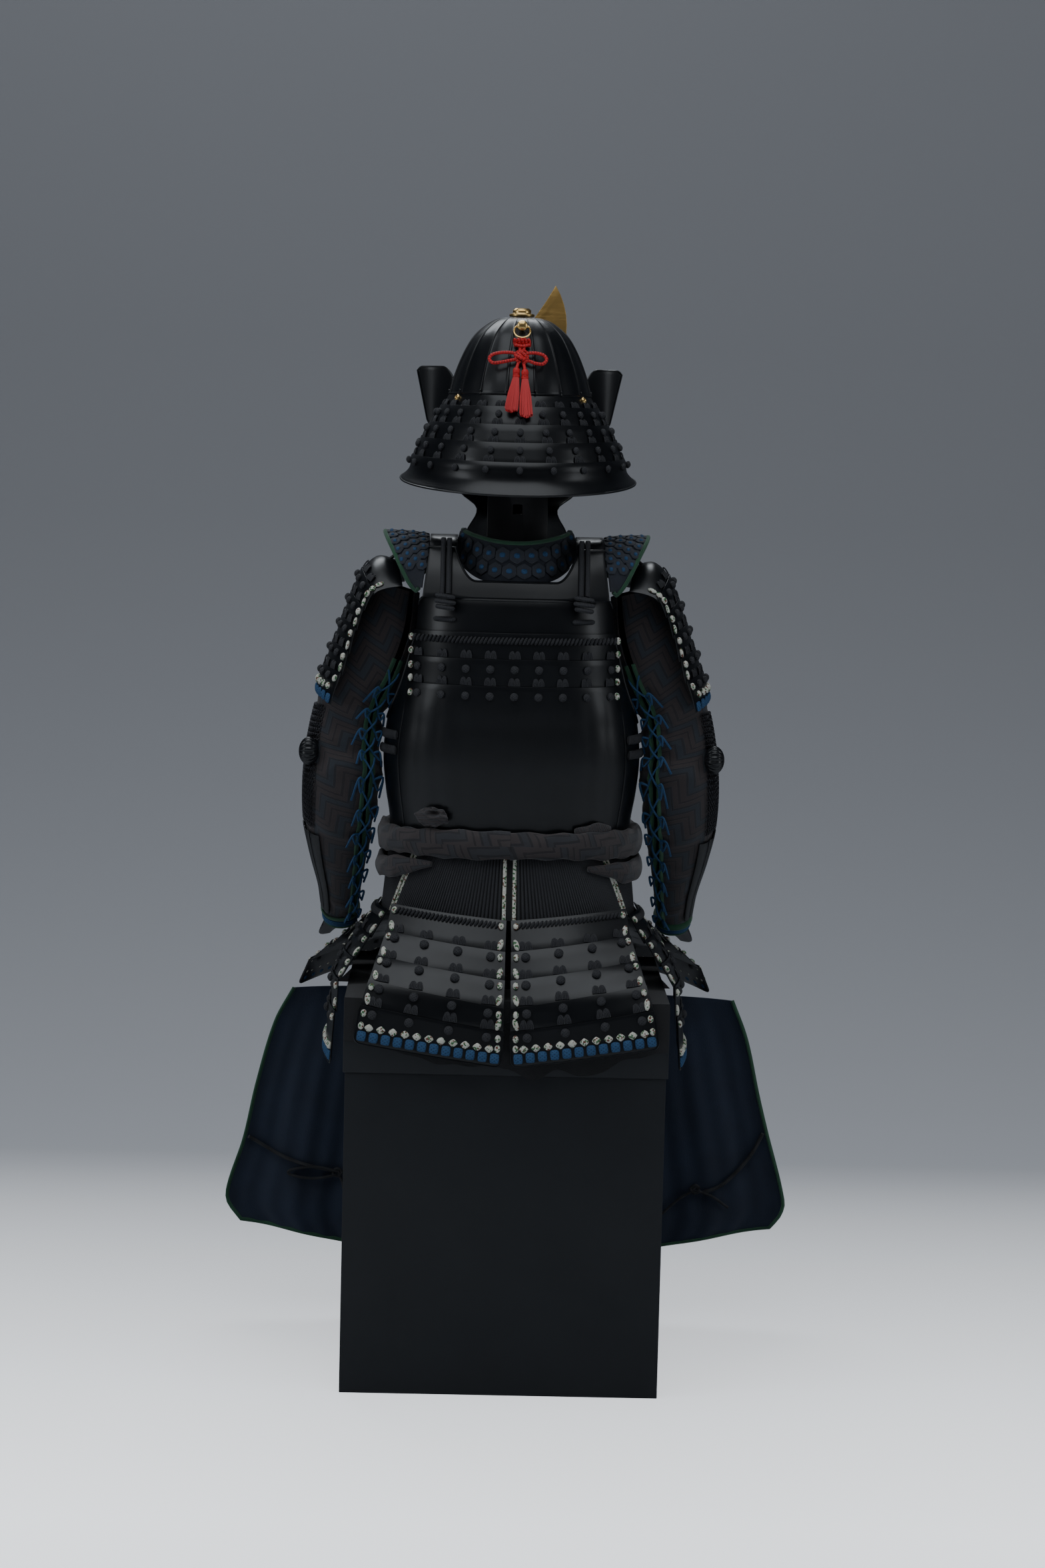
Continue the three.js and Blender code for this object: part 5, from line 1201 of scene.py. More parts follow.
# Arm plates: a lacquered guard of narrow splints down each forearm, a small fluted boss at the elbow
# and a guard over the back of the hand, all of hammered iron sewn to the sleeve.
for name, side in (("left", 1), ("right", -1)):
    def splint_face(low, high):
        def place(u, v):
            degrees = mix(low, high, u)
            bow = 1.4 * math.sin(math.pi * u)
            return sleeve_point(side, degrees, mix(0.66, 0.93, v), 3.0 + bow)
        return place
    splints = []
    for i in range(5):
        low = mix(-62, 62, i / 5) + 0.8
        high = mix(-62, 62, (i + 1) / 5) - 0.8
        splints.append(worked_sheet("splint", splint_face(low, high), even(5), even(24), 1.4,
                                    lambda point: point - Vector((side * 0.262, -0.07, point.z))))
    forearm = join_pieces(f"forearm_splints_{name}", splints)
    finished(forearm, iron_lacquer, "lacquer", f"forearm_plate_{name}")
    low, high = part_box(f"elbow_boss_{name}")
    center, reach = (Vector(low) + Vector(high)) / 2, (Vector(high) - Vector(low)) / 2
    def petal_face(u, v, side=side, center=center, reach=reach):
        turn, rise = 2 * math.pi * u, math.pi * (v - 0.5)
        flute = 1 - 0.09 * (1 - abs(math.sin(8 * turn))) * math.cos(rise)
        x = side * reach.x * math.sin(rise) * flute
        y = reach.y * math.cos(rise) * math.cos(turn) * flute
        z = reach.z * math.cos(rise) * math.sin(turn) * flute
        return center + Vector((x, y, z))
    boss = shaped_grid(f"elbow_cap_{name}", petal_face, even(96), even(20))
    merged(boss)
    facing(boss, lambda point, center=center: point - center)
    bpy.ops.object.shade_smooth()
    finished(boss, iron_lacquer, "lacquer", f"elbow_boss_{name}")
    guard = smooth_copy(f"hand_guard_{name}", f"hand_plate_{name}", iron_lacquer, levels=0, eased=0.5)
    use_modifier(guard, "SUBSURF", levels=2, render_levels=2)


# Sash: a long padded strip of figured cloth wound twice round the waist and twisted. It is tied in a
# flat knot at the left of the back, and one fold is tucked in at the right.
sash_power = 2 / 2.4


def sash_skin(half_width, half_depth, z, thick, high, start, end, twist, taper_ends):
    def place(u, v):
        degrees = mix(start, end, v)
        angle = 2 * math.pi * u
        taper = min(1, min(v, 1 - v) * 9 + 0.25) if taper_ends else 1
        folds = 1 - 0.13 * abs(math.sin(1.5 * angle + twist * v)) - 0.05 * math.sin(31 * v + 2 * angle)
        out = thick * (taper * math.cos(angle) * folds - (1 - taper))
        lift = high * (taper * math.sin(angle) * folds + (1 - taper) * 0.7)
        droop = 2.2 * math.sin(math.radians(degrees) * 3) + 1.4 * math.sin(math.radians(degrees) * 7 + 1)
        return oval(degrees, half_width + out, half_depth + out, 8, z + lift + droop * taper_ends, sash_power)
    return place


sash_brocade = figured_cloth("sash_brocade", (0.036, 0.027, 0.028), (0.021, 0.022, 0.028),
                             (0.007, 0.006, 0.008), 2, 26)


def closed_roll(piece, open_ends):
    """Closes a roll of cloth at its seam, and at its ends where they are open."""
    merged(piece)
    make_active(piece)
    bpy.ops.object.mode_set(mode="EDIT")
    if open_ends:
        bpy.ops.mesh.select_all(action="DESELECT")
        bpy.ops.mesh.select_non_manifold()
        bpy.ops.mesh.edge_face_add()
    bpy.ops.mesh.select_all(action="SELECT")
    bpy.ops.mesh.normals_make_consistent(inside=False)
    bpy.ops.object.mode_set(mode="OBJECT")
    bpy.ops.object.shade_smooth()


upper_skin = sash_skin(189, 134, 798, 9.5, 22, 0, 360, 74, 0)
lower_skin = sash_skin(191.9, 142.3, 756.5, 8.2, 17.5, 34, 326, 51, 1)
sash_upper = shaped_grid("sash_upper_cloth", upper_skin, even(36), even(260))
closed_roll(sash_upper, open_ends=False)
sash_lower = shaped_grid("sash_lower_cloth", lower_skin, even(32), even(220))
closed_roll(sash_lower, open_ends=True)
finished(sash_upper, sash_brocade, "brocade", "sash_upper_roll")
finished(sash_lower, sash_brocade, "brocade", "sash_lower_roll")


knot_x, knot_y, knot_z, knot_lean = 115.5, 124.6, 836, -0.45


def knot_skin(u, v):
    turn, rise = 2 * math.pi * u, math.pi * (v - 0.5)
    folds = 1 + 0.09 * math.sin(3 * turn + 5 * rise) + 0.05 * math.sin(9 * rise - 2 * turn)
    across, up = math.cos(rise) * math.cos(turn), math.sin(rise)
    mouth = math.dist((across, up), (-0.25, 0.45)) / 0.34
    dent = 1.25 * math.exp(-mouth ** 2) - 0.4 * math.exp(-((mouth - 1.35) / 0.4) ** 2)
    x = 26 * across * folds
    y = 8.4 * math.cos(rise) * math.sin(turn) * folds * (1 - dent * (math.sin(turn) > 0))
    return Vector((knot_x + x * math.cos(knot_lean) - y * math.sin(knot_lean),
                   knot_y + x * math.sin(knot_lean) + y * math.cos(knot_lean),
                   knot_z + 13.5 * up * folds)) * mm


sash_knot = shaped_grid("sash_knot_cloth", knot_skin, even(64), even(48))
merged(sash_knot)
facing(sash_knot, lambda point: point - Vector((knot_x, knot_y, knot_z)) * mm)
make_active(sash_knot)
bpy.ops.object.shade_smooth()
finished(sash_knot, sash_brocade, "brocade", "sash_knot")


def fold_skin(u, v):
    degrees, turn = mix(-48, -26, v), 2 * math.pi * u
    swell = math.sin(math.pi * mix(0.06, 0.94, v)) ** 0.35
    folds = 1 + 0.1 * math.sin(2 * turn + 11 * v)
    out = 4.2 * math.cos(turn) * swell * folds
    z = 821 + 8.6 * math.sin(turn) * swell * folds + 2 * math.sin(5 * v)
    return oval(degrees, 187.2 + out, 131.8 + out, 8, z, sash_power)


sash_fold = shaped_grid("sash_tucked_fold", fold_skin, even(24), even(40))
closed_roll(sash_fold, open_ends=True)
finished(sash_fold, sash_brocade, "brocade")


# Lacing curtain: the backing of thin dark cloth behind the run of braid that the tassets hang from,
# sewn under the cuirass's hem and closed all round.
curtain_rows = [(690, 189, 152, 8), (740, 184, 137, 8), (789.7, 179, 123, 8)]


def curtain_point(degrees, z, out=0.0):
    half_width, half_depth = curve_between(curtain_rows, z, 1), curve_between(curtain_rows, z, 2)
    return oval(degrees, half_width + out, half_depth + out, 8, z, body_power)


backing_cloth = thick_cloth("backing_cloth", (0.006, 0.006, 0.007), (0.009, 0.009, 0.01), 900)
backing = worked_sheet("curtain_backing", lambda u, v: curtain_point(360 * u, mix(789.7, 690, v), -3.0),
                       even(96), even(4), 1.4, away_from_axis, eased=0.0, closed=True)
finished(backing, backing_cloth, "black_braid", "lacing_curtain")


# Tassets: seven hung plates of five lapped lames, spread over the chest's lid. The last lame of each
# has rounded lower corners and a thin rim.
tasset_tables = {
    "back": ([11.2, 12, 10, 7, 6, 5],
             [(3, 163.5, 690, 171, 118, 705), (4, 190, 648, 178, 146, 669), (4, 214, 610, 190, 181, 637),
              (5, 239, 575, 200, 220, 609), (5, 244, 541, 211, 238, 576), (8, 251, 491, 220, 245, 522)]),
    "side": ([10, 10, 9, 8, 8, 8],
             [(175.4, 92, 692, 189, -46, 692), (200, 102, 655, 211, -54, 655), (224, 110, 622, 238, -60, 622),
              (245, 116, 592, 253, -66, 590), (249, 122, 546, 258, -72, 546),
              (257, 128, 468, 266, -78, 468)]),
    "front_side": ([7, 11, 13, 14, 14, 12],
                   [(185, -60.6, 690, 92.9, -139.3, 690), (214, -84, 657, 112, -172, 662),
                    (244, -108, 628, 134, -204, 640), (272, -134, 602, 154, -236, 622),
                    (300, -166, 577, 176, -268, 602), (322, -196, 531, 196, -292, 562)]),
    "front": ([6, 6, 6, 6, 6, 6],
              [(80, -139.3, 690, -80, -139.3, 690), (84, -174, 654, -84, -174, 654),
               (88, -208, 622, -88, -208, 622), (92, -248, 592, -92, -248, 592),
               (96, -262, 546, -96, -262, 546), (102, -272, 480, -102, -272, 480)]),
}
tasset_lames, tasset_step = 5, 3.6


def tasset_bare(table, side, u, v):
    bulges, rows = tasset_tables[table]
    j = min(int(v * tasset_lames + 1e-9), tasset_lames - 1)
    share = v * tasset_lames - j
    row = [mix(a, b, share) for a, b in zip(rows[j], rows[j + 1])]
    bulge = mix(bulges[j], bulges[j + 1], share)
    near, far = Vector(row[:3]), Vector(row[3:])
    across = far - near
    outward = Vector((-across.y, across.x, 0)).normalized()
    if outward.dot(near) + outward.dot(far) < 0:
        outward.negate()
    point = near.lerp(far, u) + outward * (bulge * math.sin(math.pi * u))
    return Vector((side * point.x, point.y, point.z)) * mm


def away_from_hips(point):
    return Vector((point.x, point.y, 0.02))


def lame_line(table, side, k, u, w, out=0.0):
    """A point of lame k of a tasset: w runs from 0 at its top edge to 1 at the next lame's."""
    start, end = k / tasset_lames, (k + 1) / tasset_lames
    def bare(a, b):
        return tasset_bare(table, side, a, mix(start, end, b))
    normal, down = normal_of(bare, u, min(max(w, 0.004), 0.996), away_from_hips)
    past = down * (max(w - 1, 0) * 0.03)
    return bare(u, min(w, 1)) + past + normal * ((mix(tasset_step, 0.4, min(w, 1)) + out) * mm)


def tasset_width(table, k):
    row = tasset_tables[table][1][k]
    return math.dist(row[:3], row[3:])


def lame_face(table, side, k):
    last = k == tasset_lames - 1
    width = tasset_width(table, k + 1)
    row, below = tasset_tables[table][1][k], tasset_tables[table][1][k + 1]
    high = math.dist(row[:3], below[:3])
    def place(u, v):
        end = 1 - rounded_edge(u, width, 9) / high if last else 1.1
        return lame_line(table, side, k, u, mix(0, end, v))
    return place


tasset_sides = [("back", 1), ("back", -1), ("side", 1), ("side", -1), ("front_side", 1), ("front_side", -1),
                ("front", 1)]


def tasset_label(table, side):
    if table == "front":
        return table
    return f"{table}_left" if side > 0 else f"{table}_right"


for table, side in tasset_sides:
    label = tasset_label(table, side)
    lames = []
    for k in range(tasset_lames):
        last = k == tasset_lames - 1
        lames.append(worked_sheet("tasset_lame", lame_face(table, side, k), dense_ends(20, 170, 9),
                                  even(10 if last else 3), 1.5, away_from_hips, eased=0.45))
    place = lame_face(table, side, tasset_lames - 1)
    border = [place(0, v) for v in even(8, 0.1, 1)] + [place(u, 1) for u in dense_ends(24, 170, 9)[1:]]
    border += [place(1, 1 - v) for v in even(8, 0.0, 0.9)[1:]]
    lames.append(piece_of("tasset_rim", [tube_part(border, 1.1 * mm, 6)]))
    finished(join_pieces(f"tasset_{label}_lames", lames), iron_lacquer, "lacquer", f"tasset_{label}")


# Thigh apron: a cloth yoke over the lid's front edge, and two panels lined with dark blue cotton that
# hang beside the chest, quilted in soft upright ridges and bound with green.
yoke_rows = [(0, -128, 688, 96), (0.35, -178, 640, 130), (0.62, -216, 592, 190), (0.74, -231, 580, 214),
             (1, -236.5, 530.5, 262)]


def apron_yoke_face(u, v):
    x = mix(1, -1, u) * straight(yoke_rows, v, 3)
    return Vector((x, straight(yoke_rows, v, 1) + 0.6 * math.sin(u * 40) * v, straight(yoke_rows, v, 2))) * mm


apron_yoke = worked_sheet("apron_yoke_cloth", apron_yoke_face, even(48), even(20), 1.8,
                          lambda point: Vector((0, -1, 1)), eased=0.3, smooth=60)
finished(apron_yoke, sleeve_brocade, "brocade", "apron_yoke")


def lining_cloth(name, color, other):
    material, tree, shader, place = new_material(name, color, 0.8)
    tone = graded(tree, noise(tree, place, 14, 5), [(0.3, color), (0.75, other)])
    tree.links.new(tone, shader.inputs["Base Color"])
    weave = noise(tree, place, 900, 2, (1, 1, 0.4))
    bumped(tree, shader, weave, 0.0003)
    shader.inputs["Sheen Weight"].default_value = 0.3
    return material


apron_lining = lining_cloth("apron_lining", (0.006, 0.013, 0.032), (0.01, 0.021, 0.05))
for name in ("left", "right"):
    def place(u, v, name=name):
        ridge = 1.1 * math.sin(u * 2 * math.pi * 11) * min(1, v * 3) * (1 - max(0, (u - 0.93) / 0.07))
        return apron_point(name, u, v, ridge)
    panel = worked_sheet(f"apron_cloth_{name}", place, even(120), even(36), 1.8,
                         lambda point: Vector((0, 1, 0)), eased=0.3, smooth=60)
    finished(panel, apron_lining, "apron_lining", f"apron_panel_{name}")
    border = [apron_point(name, 1, v, -1) for v in even(40)]
    border += [apron_point(name, 1 - u, 1, -1) for u in even(50)[1:]]
    binding = piece_of(f"apron_binding_{name}", [tube_part(border, 3.4 * mm, 8, squash=0.7)])
    finished(binding, green_cloth, "green_binding")


# Cover cloth: a square of thin black cloth spread on the lid, its uneven hem hanging down the back in
# shallow waves.
hem_rows = [(-234, 514), (-170, 500), (-120, 476), (-75, 484), (-35, 469), (0, 486), (95, 490), (160, 508),
            (234, 521)]
cover_turn = 0.6


def cover_face(u, v):
    x = mix(234, -234, u)
    if v <= cover_turn:
        ripple = 0.5 * math.sin(u * 31 + 9 * v) * math.sin(8 * v)
        return Vector((x, mix(-120, 226.8, v / cover_turn), 583.8 + max(ripple, -0.2))) * mm
    down = (v - cover_turn) / (1 - cover_turn)
    wave = 1.6 * (0.5 + 0.5 * math.sin(u * 34 + 0.8 * math.sin(u * 9))) * down
    return Vector((x, 226.8 + wave, mix(583.8, between(hem_rows, x) + 1.5 * math.sin(u * 60), down))) * mm


cover_black = thick_cloth("cover_black", (0.008, 0.008, 0.009), (0.012, 0.012, 0.014), 1000)
cover_vs = even(14, 0, cover_turn) + even(16, cover_turn, 1)[1:]
cover = worked_sheet("cover_sheet", cover_face, even(90), cover_vs, 1.2, lambda point: Vector((0, 1, 1)),
                     eased=0.0, smooth=60)
finished(cover, cover_black, "cover_cloth", "cover_cloth")


# Neck guard lacing: black braid drawn through the lames. Below each lame's top edge it shows as a
# round knot, and above the next one as two humps of cords side by side.
def seated(place, u, v, away, out, turn=0.0):
    """Where a small thing sits on a surface: its Y points up the surface and its Z out of it."""
    normal, down = normal_of(place, u, v, away)
    up = (normal * down.dot(normal) - down).normalized()
    up = Matrix.Rotation(turn, 3, normal) @ up
    matrix = Matrix((up.cross(normal), up, normal)).transposed().to_4x4()
    matrix.translation = place(u, v) + normal * (out * mm)
    return matrix


def set_down(part, matrix, size=1.0):
    vertices, faces, skin = part
    return [matrix @ (v * size) for v in vertices], faces, skin


def part_of(piece):
    """Takes a modelled piece out of the scene, as a part to be set down many times."""
    mesh = piece.data
    layer = mesh.uv_layers.active.data
    skin = [tuple(tuple(layer[i].uv) for i in face.loop_indices) for face in mesh.polygons]
    part = ([v.co.copy() for v in mesh.vertices], [tuple(face.vertices) for face in mesh.polygons], skin)
    bpy.data.objects.remove(piece)
    return part


def knot_part(width, height, depth, corner=2.0, segments=12, rings=8, furrow=0.0):
    """A small rounded knot. A corner of 2 makes it oval, less makes a diamond, more a square."""
    deselect()
    bpy.ops.mesh.primitive_uv_sphere_add(segments=segments, ring_count=rings, radius=1)
    knot = bpy.context.object
    for vertex in knot.data.vertices:
        x, y, z = vertex.co
        x, y, z = x, -z, y
        reach = math.hypot(x, y)
        if reach > 1e-6:
            a, b = abs(x) / reach, abs(y) / reach
            shape = (a ** corner + b ** corner) ** (-1 / corner)
            x, y = x * shape, y * shape
        swell = 1 + furrow * math.sin(5 * math.atan2(z, x) + 3 * y)
        vertex.co = Vector((x * width / 2 * swell, y * height / 2, z * depth / 2 * swell)) * mm
    return part_of(knot)


def hump_part(width, height, cords, cord_radius):
    """Two humps side by side, each of a few cords that bend over into the metal at the top."""
    parts = []
    for side in (-1, 1):
        for i in range(cords):
            across = (i - (cords - 1) / 2) / max(cords - 1, 1)
            low = side * width / 4 + across * width * 0.46
            high = side * width * 0.24 + across * width * 0.28
            top = height * (0.98 - 0.5 * across * across)
            line = [(low, 0, 0.7), (low, height * 0.35, 1.3), (mix(low, high, 0.6), top * 0.78, 1.4),
                    (high, top, 0.5), (high, top * 1.03, -1.2)]
            parts.append(tube_part([Vector((x, y, z + 0.2)) * mm for x, y, z in line],
                                   [cord_radius * mm] * 4 + [cord_radius * 0.6 * mm], 5))
    whole = ([], [], [])
    for vertices, faces, skin in parts:
        start = len(whole[0])
        whole[0].extend(vertices)
        whole[1].extend(tuple(start + i for i in face) for face in faces)
        whole[2].extend(skin)
    return whole


black_braid = silk("black_braid", (0.03, 0.031, 0.036), (0.006, 0.006, 0.007), 420, 2, 0.8, 0.00025)
knot_braid = silk("knot_braid", (0.03, 0.031, 0.036), (0.005, 0.005, 0.006), 5, 7, 0.8, 0.0004)
small_ball = knot_part(9.6, 11, 8, furrow=0.05)
small_hump = hump_part(15, 10.5, 4, 1.05)
for piece in apron_ties:
    piece.data.materials.append(black_braid)


def guard_place(k):
    def place(u, v):
        return guard_point(k, mix(-guard_half_angle, guard_half_angle, u), v)
    return place


ball_pitch = {0: 14.6, 1: 14.9, 2: 15.6, 3: 16.4, 4: 17.6}
ball_parts, hump_parts = [], []
for k in range(5):
    height = guard_level(0, k).z - guard_level(0, k + 1).z
    for i in range(-7, 8):
        at = i * ball_pitch[k]
        if k and abs(at) < guard_half_angle - 2:
            u = 0.5 + at / (2 * guard_half_angle)
            matrix = seated(guard_place(k), u, 8.5 / height, away_from_head, 2.0)
            ball_parts.append(set_down(small_ball, matrix))
        if k < 4:
            at = i * (ball_pitch[k] + ball_pitch[k + 1]) / 2
            if abs(at) < guard_half_angle - 3:
                u = 0.5 + at / (2 * guard_half_angle)
                v = 1 - (1.5 if k else 1.0) / height
                matrix = seated(guard_place(k), u, v, away_from_head, 0.4)
                hump_parts.append(set_down(small_hump, matrix))
finished(piece_of("neck_guard_knots", ball_parts), knot_braid, "black_braid", body="helmet")
finished(piece_of("neck_guard_humps", hump_parts), black_braid, "black_braid", body="helmet")


# Bowl trim: a rivet at the foot of each rib, a thin bead round the rim, and two gilt rosettes on the
# top lame of the neck guard, each with a hole.
deselect()
bpy.ops.mesh.primitive_uv_sphere_add(segments=8, ring_count=6, radius=1.7 * mm)
rivet = part_of(bpy.context.object)
rivets = [set_down(rivet, Matrix.Translation(bowl_point(360 * (k + 0.5) / bowl_plates, 1457, 2.6)))
          for k in range(bowl_plates)]
rim_line = [bowl_point(degrees, 1453.2, 0.4) for degrees in even(96, 0, 360)[:-1]]
rim_bead = tube_part(rim_line, 1.3 * mm, 6, closed=True)
finished(piece_of("bowl_rivets_and_bead", rivets + [rim_bead]), iron_lacquer, "lacquer", body="helmet")
rosettes = []
for side in (1, -1):
    matrix = seated(guard_place(0), 0.5 + side * 58 / (2 * guard_half_angle), 0.3, away_from_head, 0.0)
    profile = [(0, 1.2), (1.5, 1.2), (1.7, 2.6), (2.4, 3.4), (3.6, 3.5), (4.6, 2.8), (5.2, 1.4), (5.2, 0),
               (0, 0)]
    rosettes.append(turned("rosette", profile, lambda x, y, h: matrix @ (Vector((x, y, h)) * mm), 20))
finished(join_pieces("neck_guard_rosettes", rosettes), gilt, "gilt", body="helmet")


# Back plate lacing: a twisted braid under the upper plate, rows of humps and knots on the two lames,
# and a pale figured knot at each end of every row.
def figured_braid_finish(name, scale):
    """White braid flecked with green, rust and dark brown thread."""
    material, tree, shader, place = new_material(name, (0.6, 0.6, 0.52), 0.7)
    flecks = add_node(tree, "TexVoronoi", Vector=place, Scale=scale)
    split = add_node(tree, "SeparateXYZ", Vector=flecks.outputs["Color"])
    tone = graded(tree, split.outputs[0], [(0.0, (0.62, 0.62, 0.55)), (0.5, (0.05, 0.16, 0.06)),
                                          (0.68, (0.62, 0.6, 0.5)), (0.82, (0.16, 0.05, 0.03)),
                                          (0.92, (0.7, 0.7, 0.64))], "CONSTANT")
    tree.links.new(tone, shader.inputs["Base Color"])
    bumped(tree, shader, flecks.outputs["Distance"], 0.0004)
    return material


figured_braid = figured_braid_finish("figured_braid", 420)
large_ball = knot_part(13.5, 13.5, 10, furrow=0.05)
large_hump = hump_part(19, 13.5, 5, 1.2)
edge_knot = knot_part(8.5, 11, 7.5)
edge_oval = knot_part(8.5, 18, 6.5)
twist = knot_part(4.9, 12.5, 7, segments=8, rings=6)


def body_place(low, high):
    def place(u, v):
        return body_point(mix(-90, 90, u), mix(high, low, v))
    return place


def body_seat(x, z, out, turn=0.0):
    half = curve_between(body_rows, z, 1)
    degrees = math.degrees(math.asin(min(abs(x) / half, 1) ** (1 / body_power))) * math.copysign(1, x)
    return seated(body_place(z - 20, z + 20), 0.5 + degrees / 180, 0.5, away_from_axis, out, turn)


back_columns = [35 * i for i in range(-3, 4)] + [-139, 139]
back_knots, back_humps, back_ends = [], [], []
for x in back_columns:
    for z in (1055, 1016):
        back_knots.append(set_down(large_ball, body_seat(x, z, 3.6), 0.9))
    for z in (1070.5, 1031.5):
        back_humps.append(set_down(large_hump, body_seat(x, z, 1.4), 0.85))
for i in range(52):
    back_knots.append(set_down(twist, body_seat(mix(-144, 144, i / 51), 1096.5, 3.6, -0.55)))
for x in (-151, 151):
    for z in (1096.5, 1077, 1056, 1037, 1016):
        back_ends.append(set_down(edge_knot, body_seat(x * 0.985, z, 3.6)))
finished(piece_of("back_knots", back_knots), knot_braid, "black_braid")
finished(piece_of("back_humps", back_humps), black_braid, "black_braid")
finished(piece_of("back_row_ends", back_ends), figured_braid, "figured_braid")


# Lacing curtain braid: close upright cords that fan out to each tasset, with a figured cord at both
# edges of each fan.
fans = [(1.2, 44, 1.2, 62.5), (47, 104, 66, 112), (107, 146, 115, 150)]
fan_pitch = 4.4
black_cords, figured_cords = [], []
for side in (1, -1):
    for top_start, top_end, low_start, low_end in fans:
        span = (curtain_point(low_start, 692) - curtain_point(low_end, 692)).length / mm
        count = max(int(span * 1.06 / fan_pitch), 4)
        for i in range(count):
            share = i / (count - 1)
            top, low = mix(top_start, top_end, share), mix(low_start, low_end, share)
            line = [curtain_point(side * mix(top, low, t), mix(788.5, 691, t), -1.5) for t in even(5)]
            if i in (0, count - 1):
                figured_cords.append(tube_part(line, 3.4 * mm, 6, squash=0.75))
            else:
                black_cords.append(tube_part(line, 2.3 * mm, 5, squash=0.75))
for i in range(38):
    degrees = mix(151, 209, i / 37)
    line = [curtain_point(degrees, mix(788.5, 691, t), -1.5) for t in even(4)]
    black_cords.append(tube_part(line, 2.3 * mm, 5, squash=0.75))
finished(piece_of("curtain_black_cords", black_cords), black_braid, "black_braid")
finished(piece_of("curtain_figured_cords", figured_cords), figured_braid, "figured_braid")


# Tasset lacing: a twisted braid on the top lame, knots and humps down the others, figured knots down
# both edges, and along the bottom a row of figured diamonds over a row of blue squares.
blue_braid = silk("blue_braid", (0.02, 0.085, 0.2), (0.006, 0.024, 0.065), 5, 6, 0.75, 0.0004)
blue_square = knot_part(13.4, 15, 7, corner=5)
figured_diamond = knot_part(13.2, 11.6, 7, corner=1.35)
ball_columns = {"back": [0.115, 0.376, 0.65, 0.905], "side": [0.15, 0.5, 0.85],
                "front_side": [0.15, 0.5, 0.85], "front": [0.115, 0.376, 0.624, 0.885]}


def lame_seat(table, side, k, u, from_top, out, turn=0.0):
    """On lame k of a tasset, that many mm below its top edge, or above its bottom if negative."""
    row, below = tasset_tables[table][1][k], tasset_tables[table][1][k + 1]
    high = mix(math.dist(row[:3], below[:3]), math.dist(row[3:], below[3:]), u)
    w = from_top / high if from_top >= 0 else 1 + from_top / high
    return seated(lambda a, b: lame_line(table, side, k, a, b), u, w, away_from_hips, out, turn)


for table, side in tasset_sides:
    label = tasset_label(table, side)
    knots, humps, ends, blues = [], [], [], []
    for k in range(tasset_lames):
        width = tasset_width(table, k)
        if k == 0:
            count = int((width - 26) / 5.6)
            for i in range(count):
                u = mix(13, width - 13, i / (count - 1)) / width
                knots.append(set_down(twist, lame_seat(table, side, k, u, 9.5, 1.2, -0.55)))
        else:
            for u in ball_columns[table]:
                knots.append(set_down(large_ball, lame_seat(table, side, k, u, 11, 1.8)))
        if k < tasset_lames - 1:
            for u in ball_columns[table]:
                humps.append(set_down(large_hump, lame_seat(table, side, k, u, -1.2, 0.2)))
        for u, lean in ((7.5 / width, -0.28), (1 - 7.5 / width, 0.28)):
            ends.append(set_down(edge_knot, lame_seat(table, side, k, u, 10.5, 1.8)))
            if k < tasset_lames - 1:
                ends.append(set_down(edge_oval, lame_seat(table, side, k, u, -10, 1.6, lean * side)))
    last = tasset_lames - 1
    width = tasset_width(table, tasset_lames)
    count = int((width - 18) / 17.5) + 1
    for i in range(count):
        u = mix(10, width - 10, i / (count - 1)) / width
        blues.append(set_down(blue_square, lame_seat(table, side, last, u, -11.5, 1.4)))
        if i < count - 1:
            between_u = mix(10, width - 10, (i + 0.5) / (count - 1)) / width
            ends.append(set_down(figured_diamond, lame_seat(table, side, last, between_u, -24.5, 1.6)))
    for u in (7 / width, 1 - 7 / width):
        ends.append(set_down(edge_knot, lame_seat(table, side, last, u, -26, 1.6)))
    finished(piece_of(f"tasset_{label}_knots", knots), knot_braid, "black_braid")
    finished(piece_of(f"tasset_{label}_humps", humps), black_braid, "black_braid")
    finished(piece_of(f"tasset_{label}_figured_knots", ends), figured_braid, "figured_braid")
    finished(piece_of(f"tasset_{label}_blue_squares", blues), blue_braid, "blue_braid")


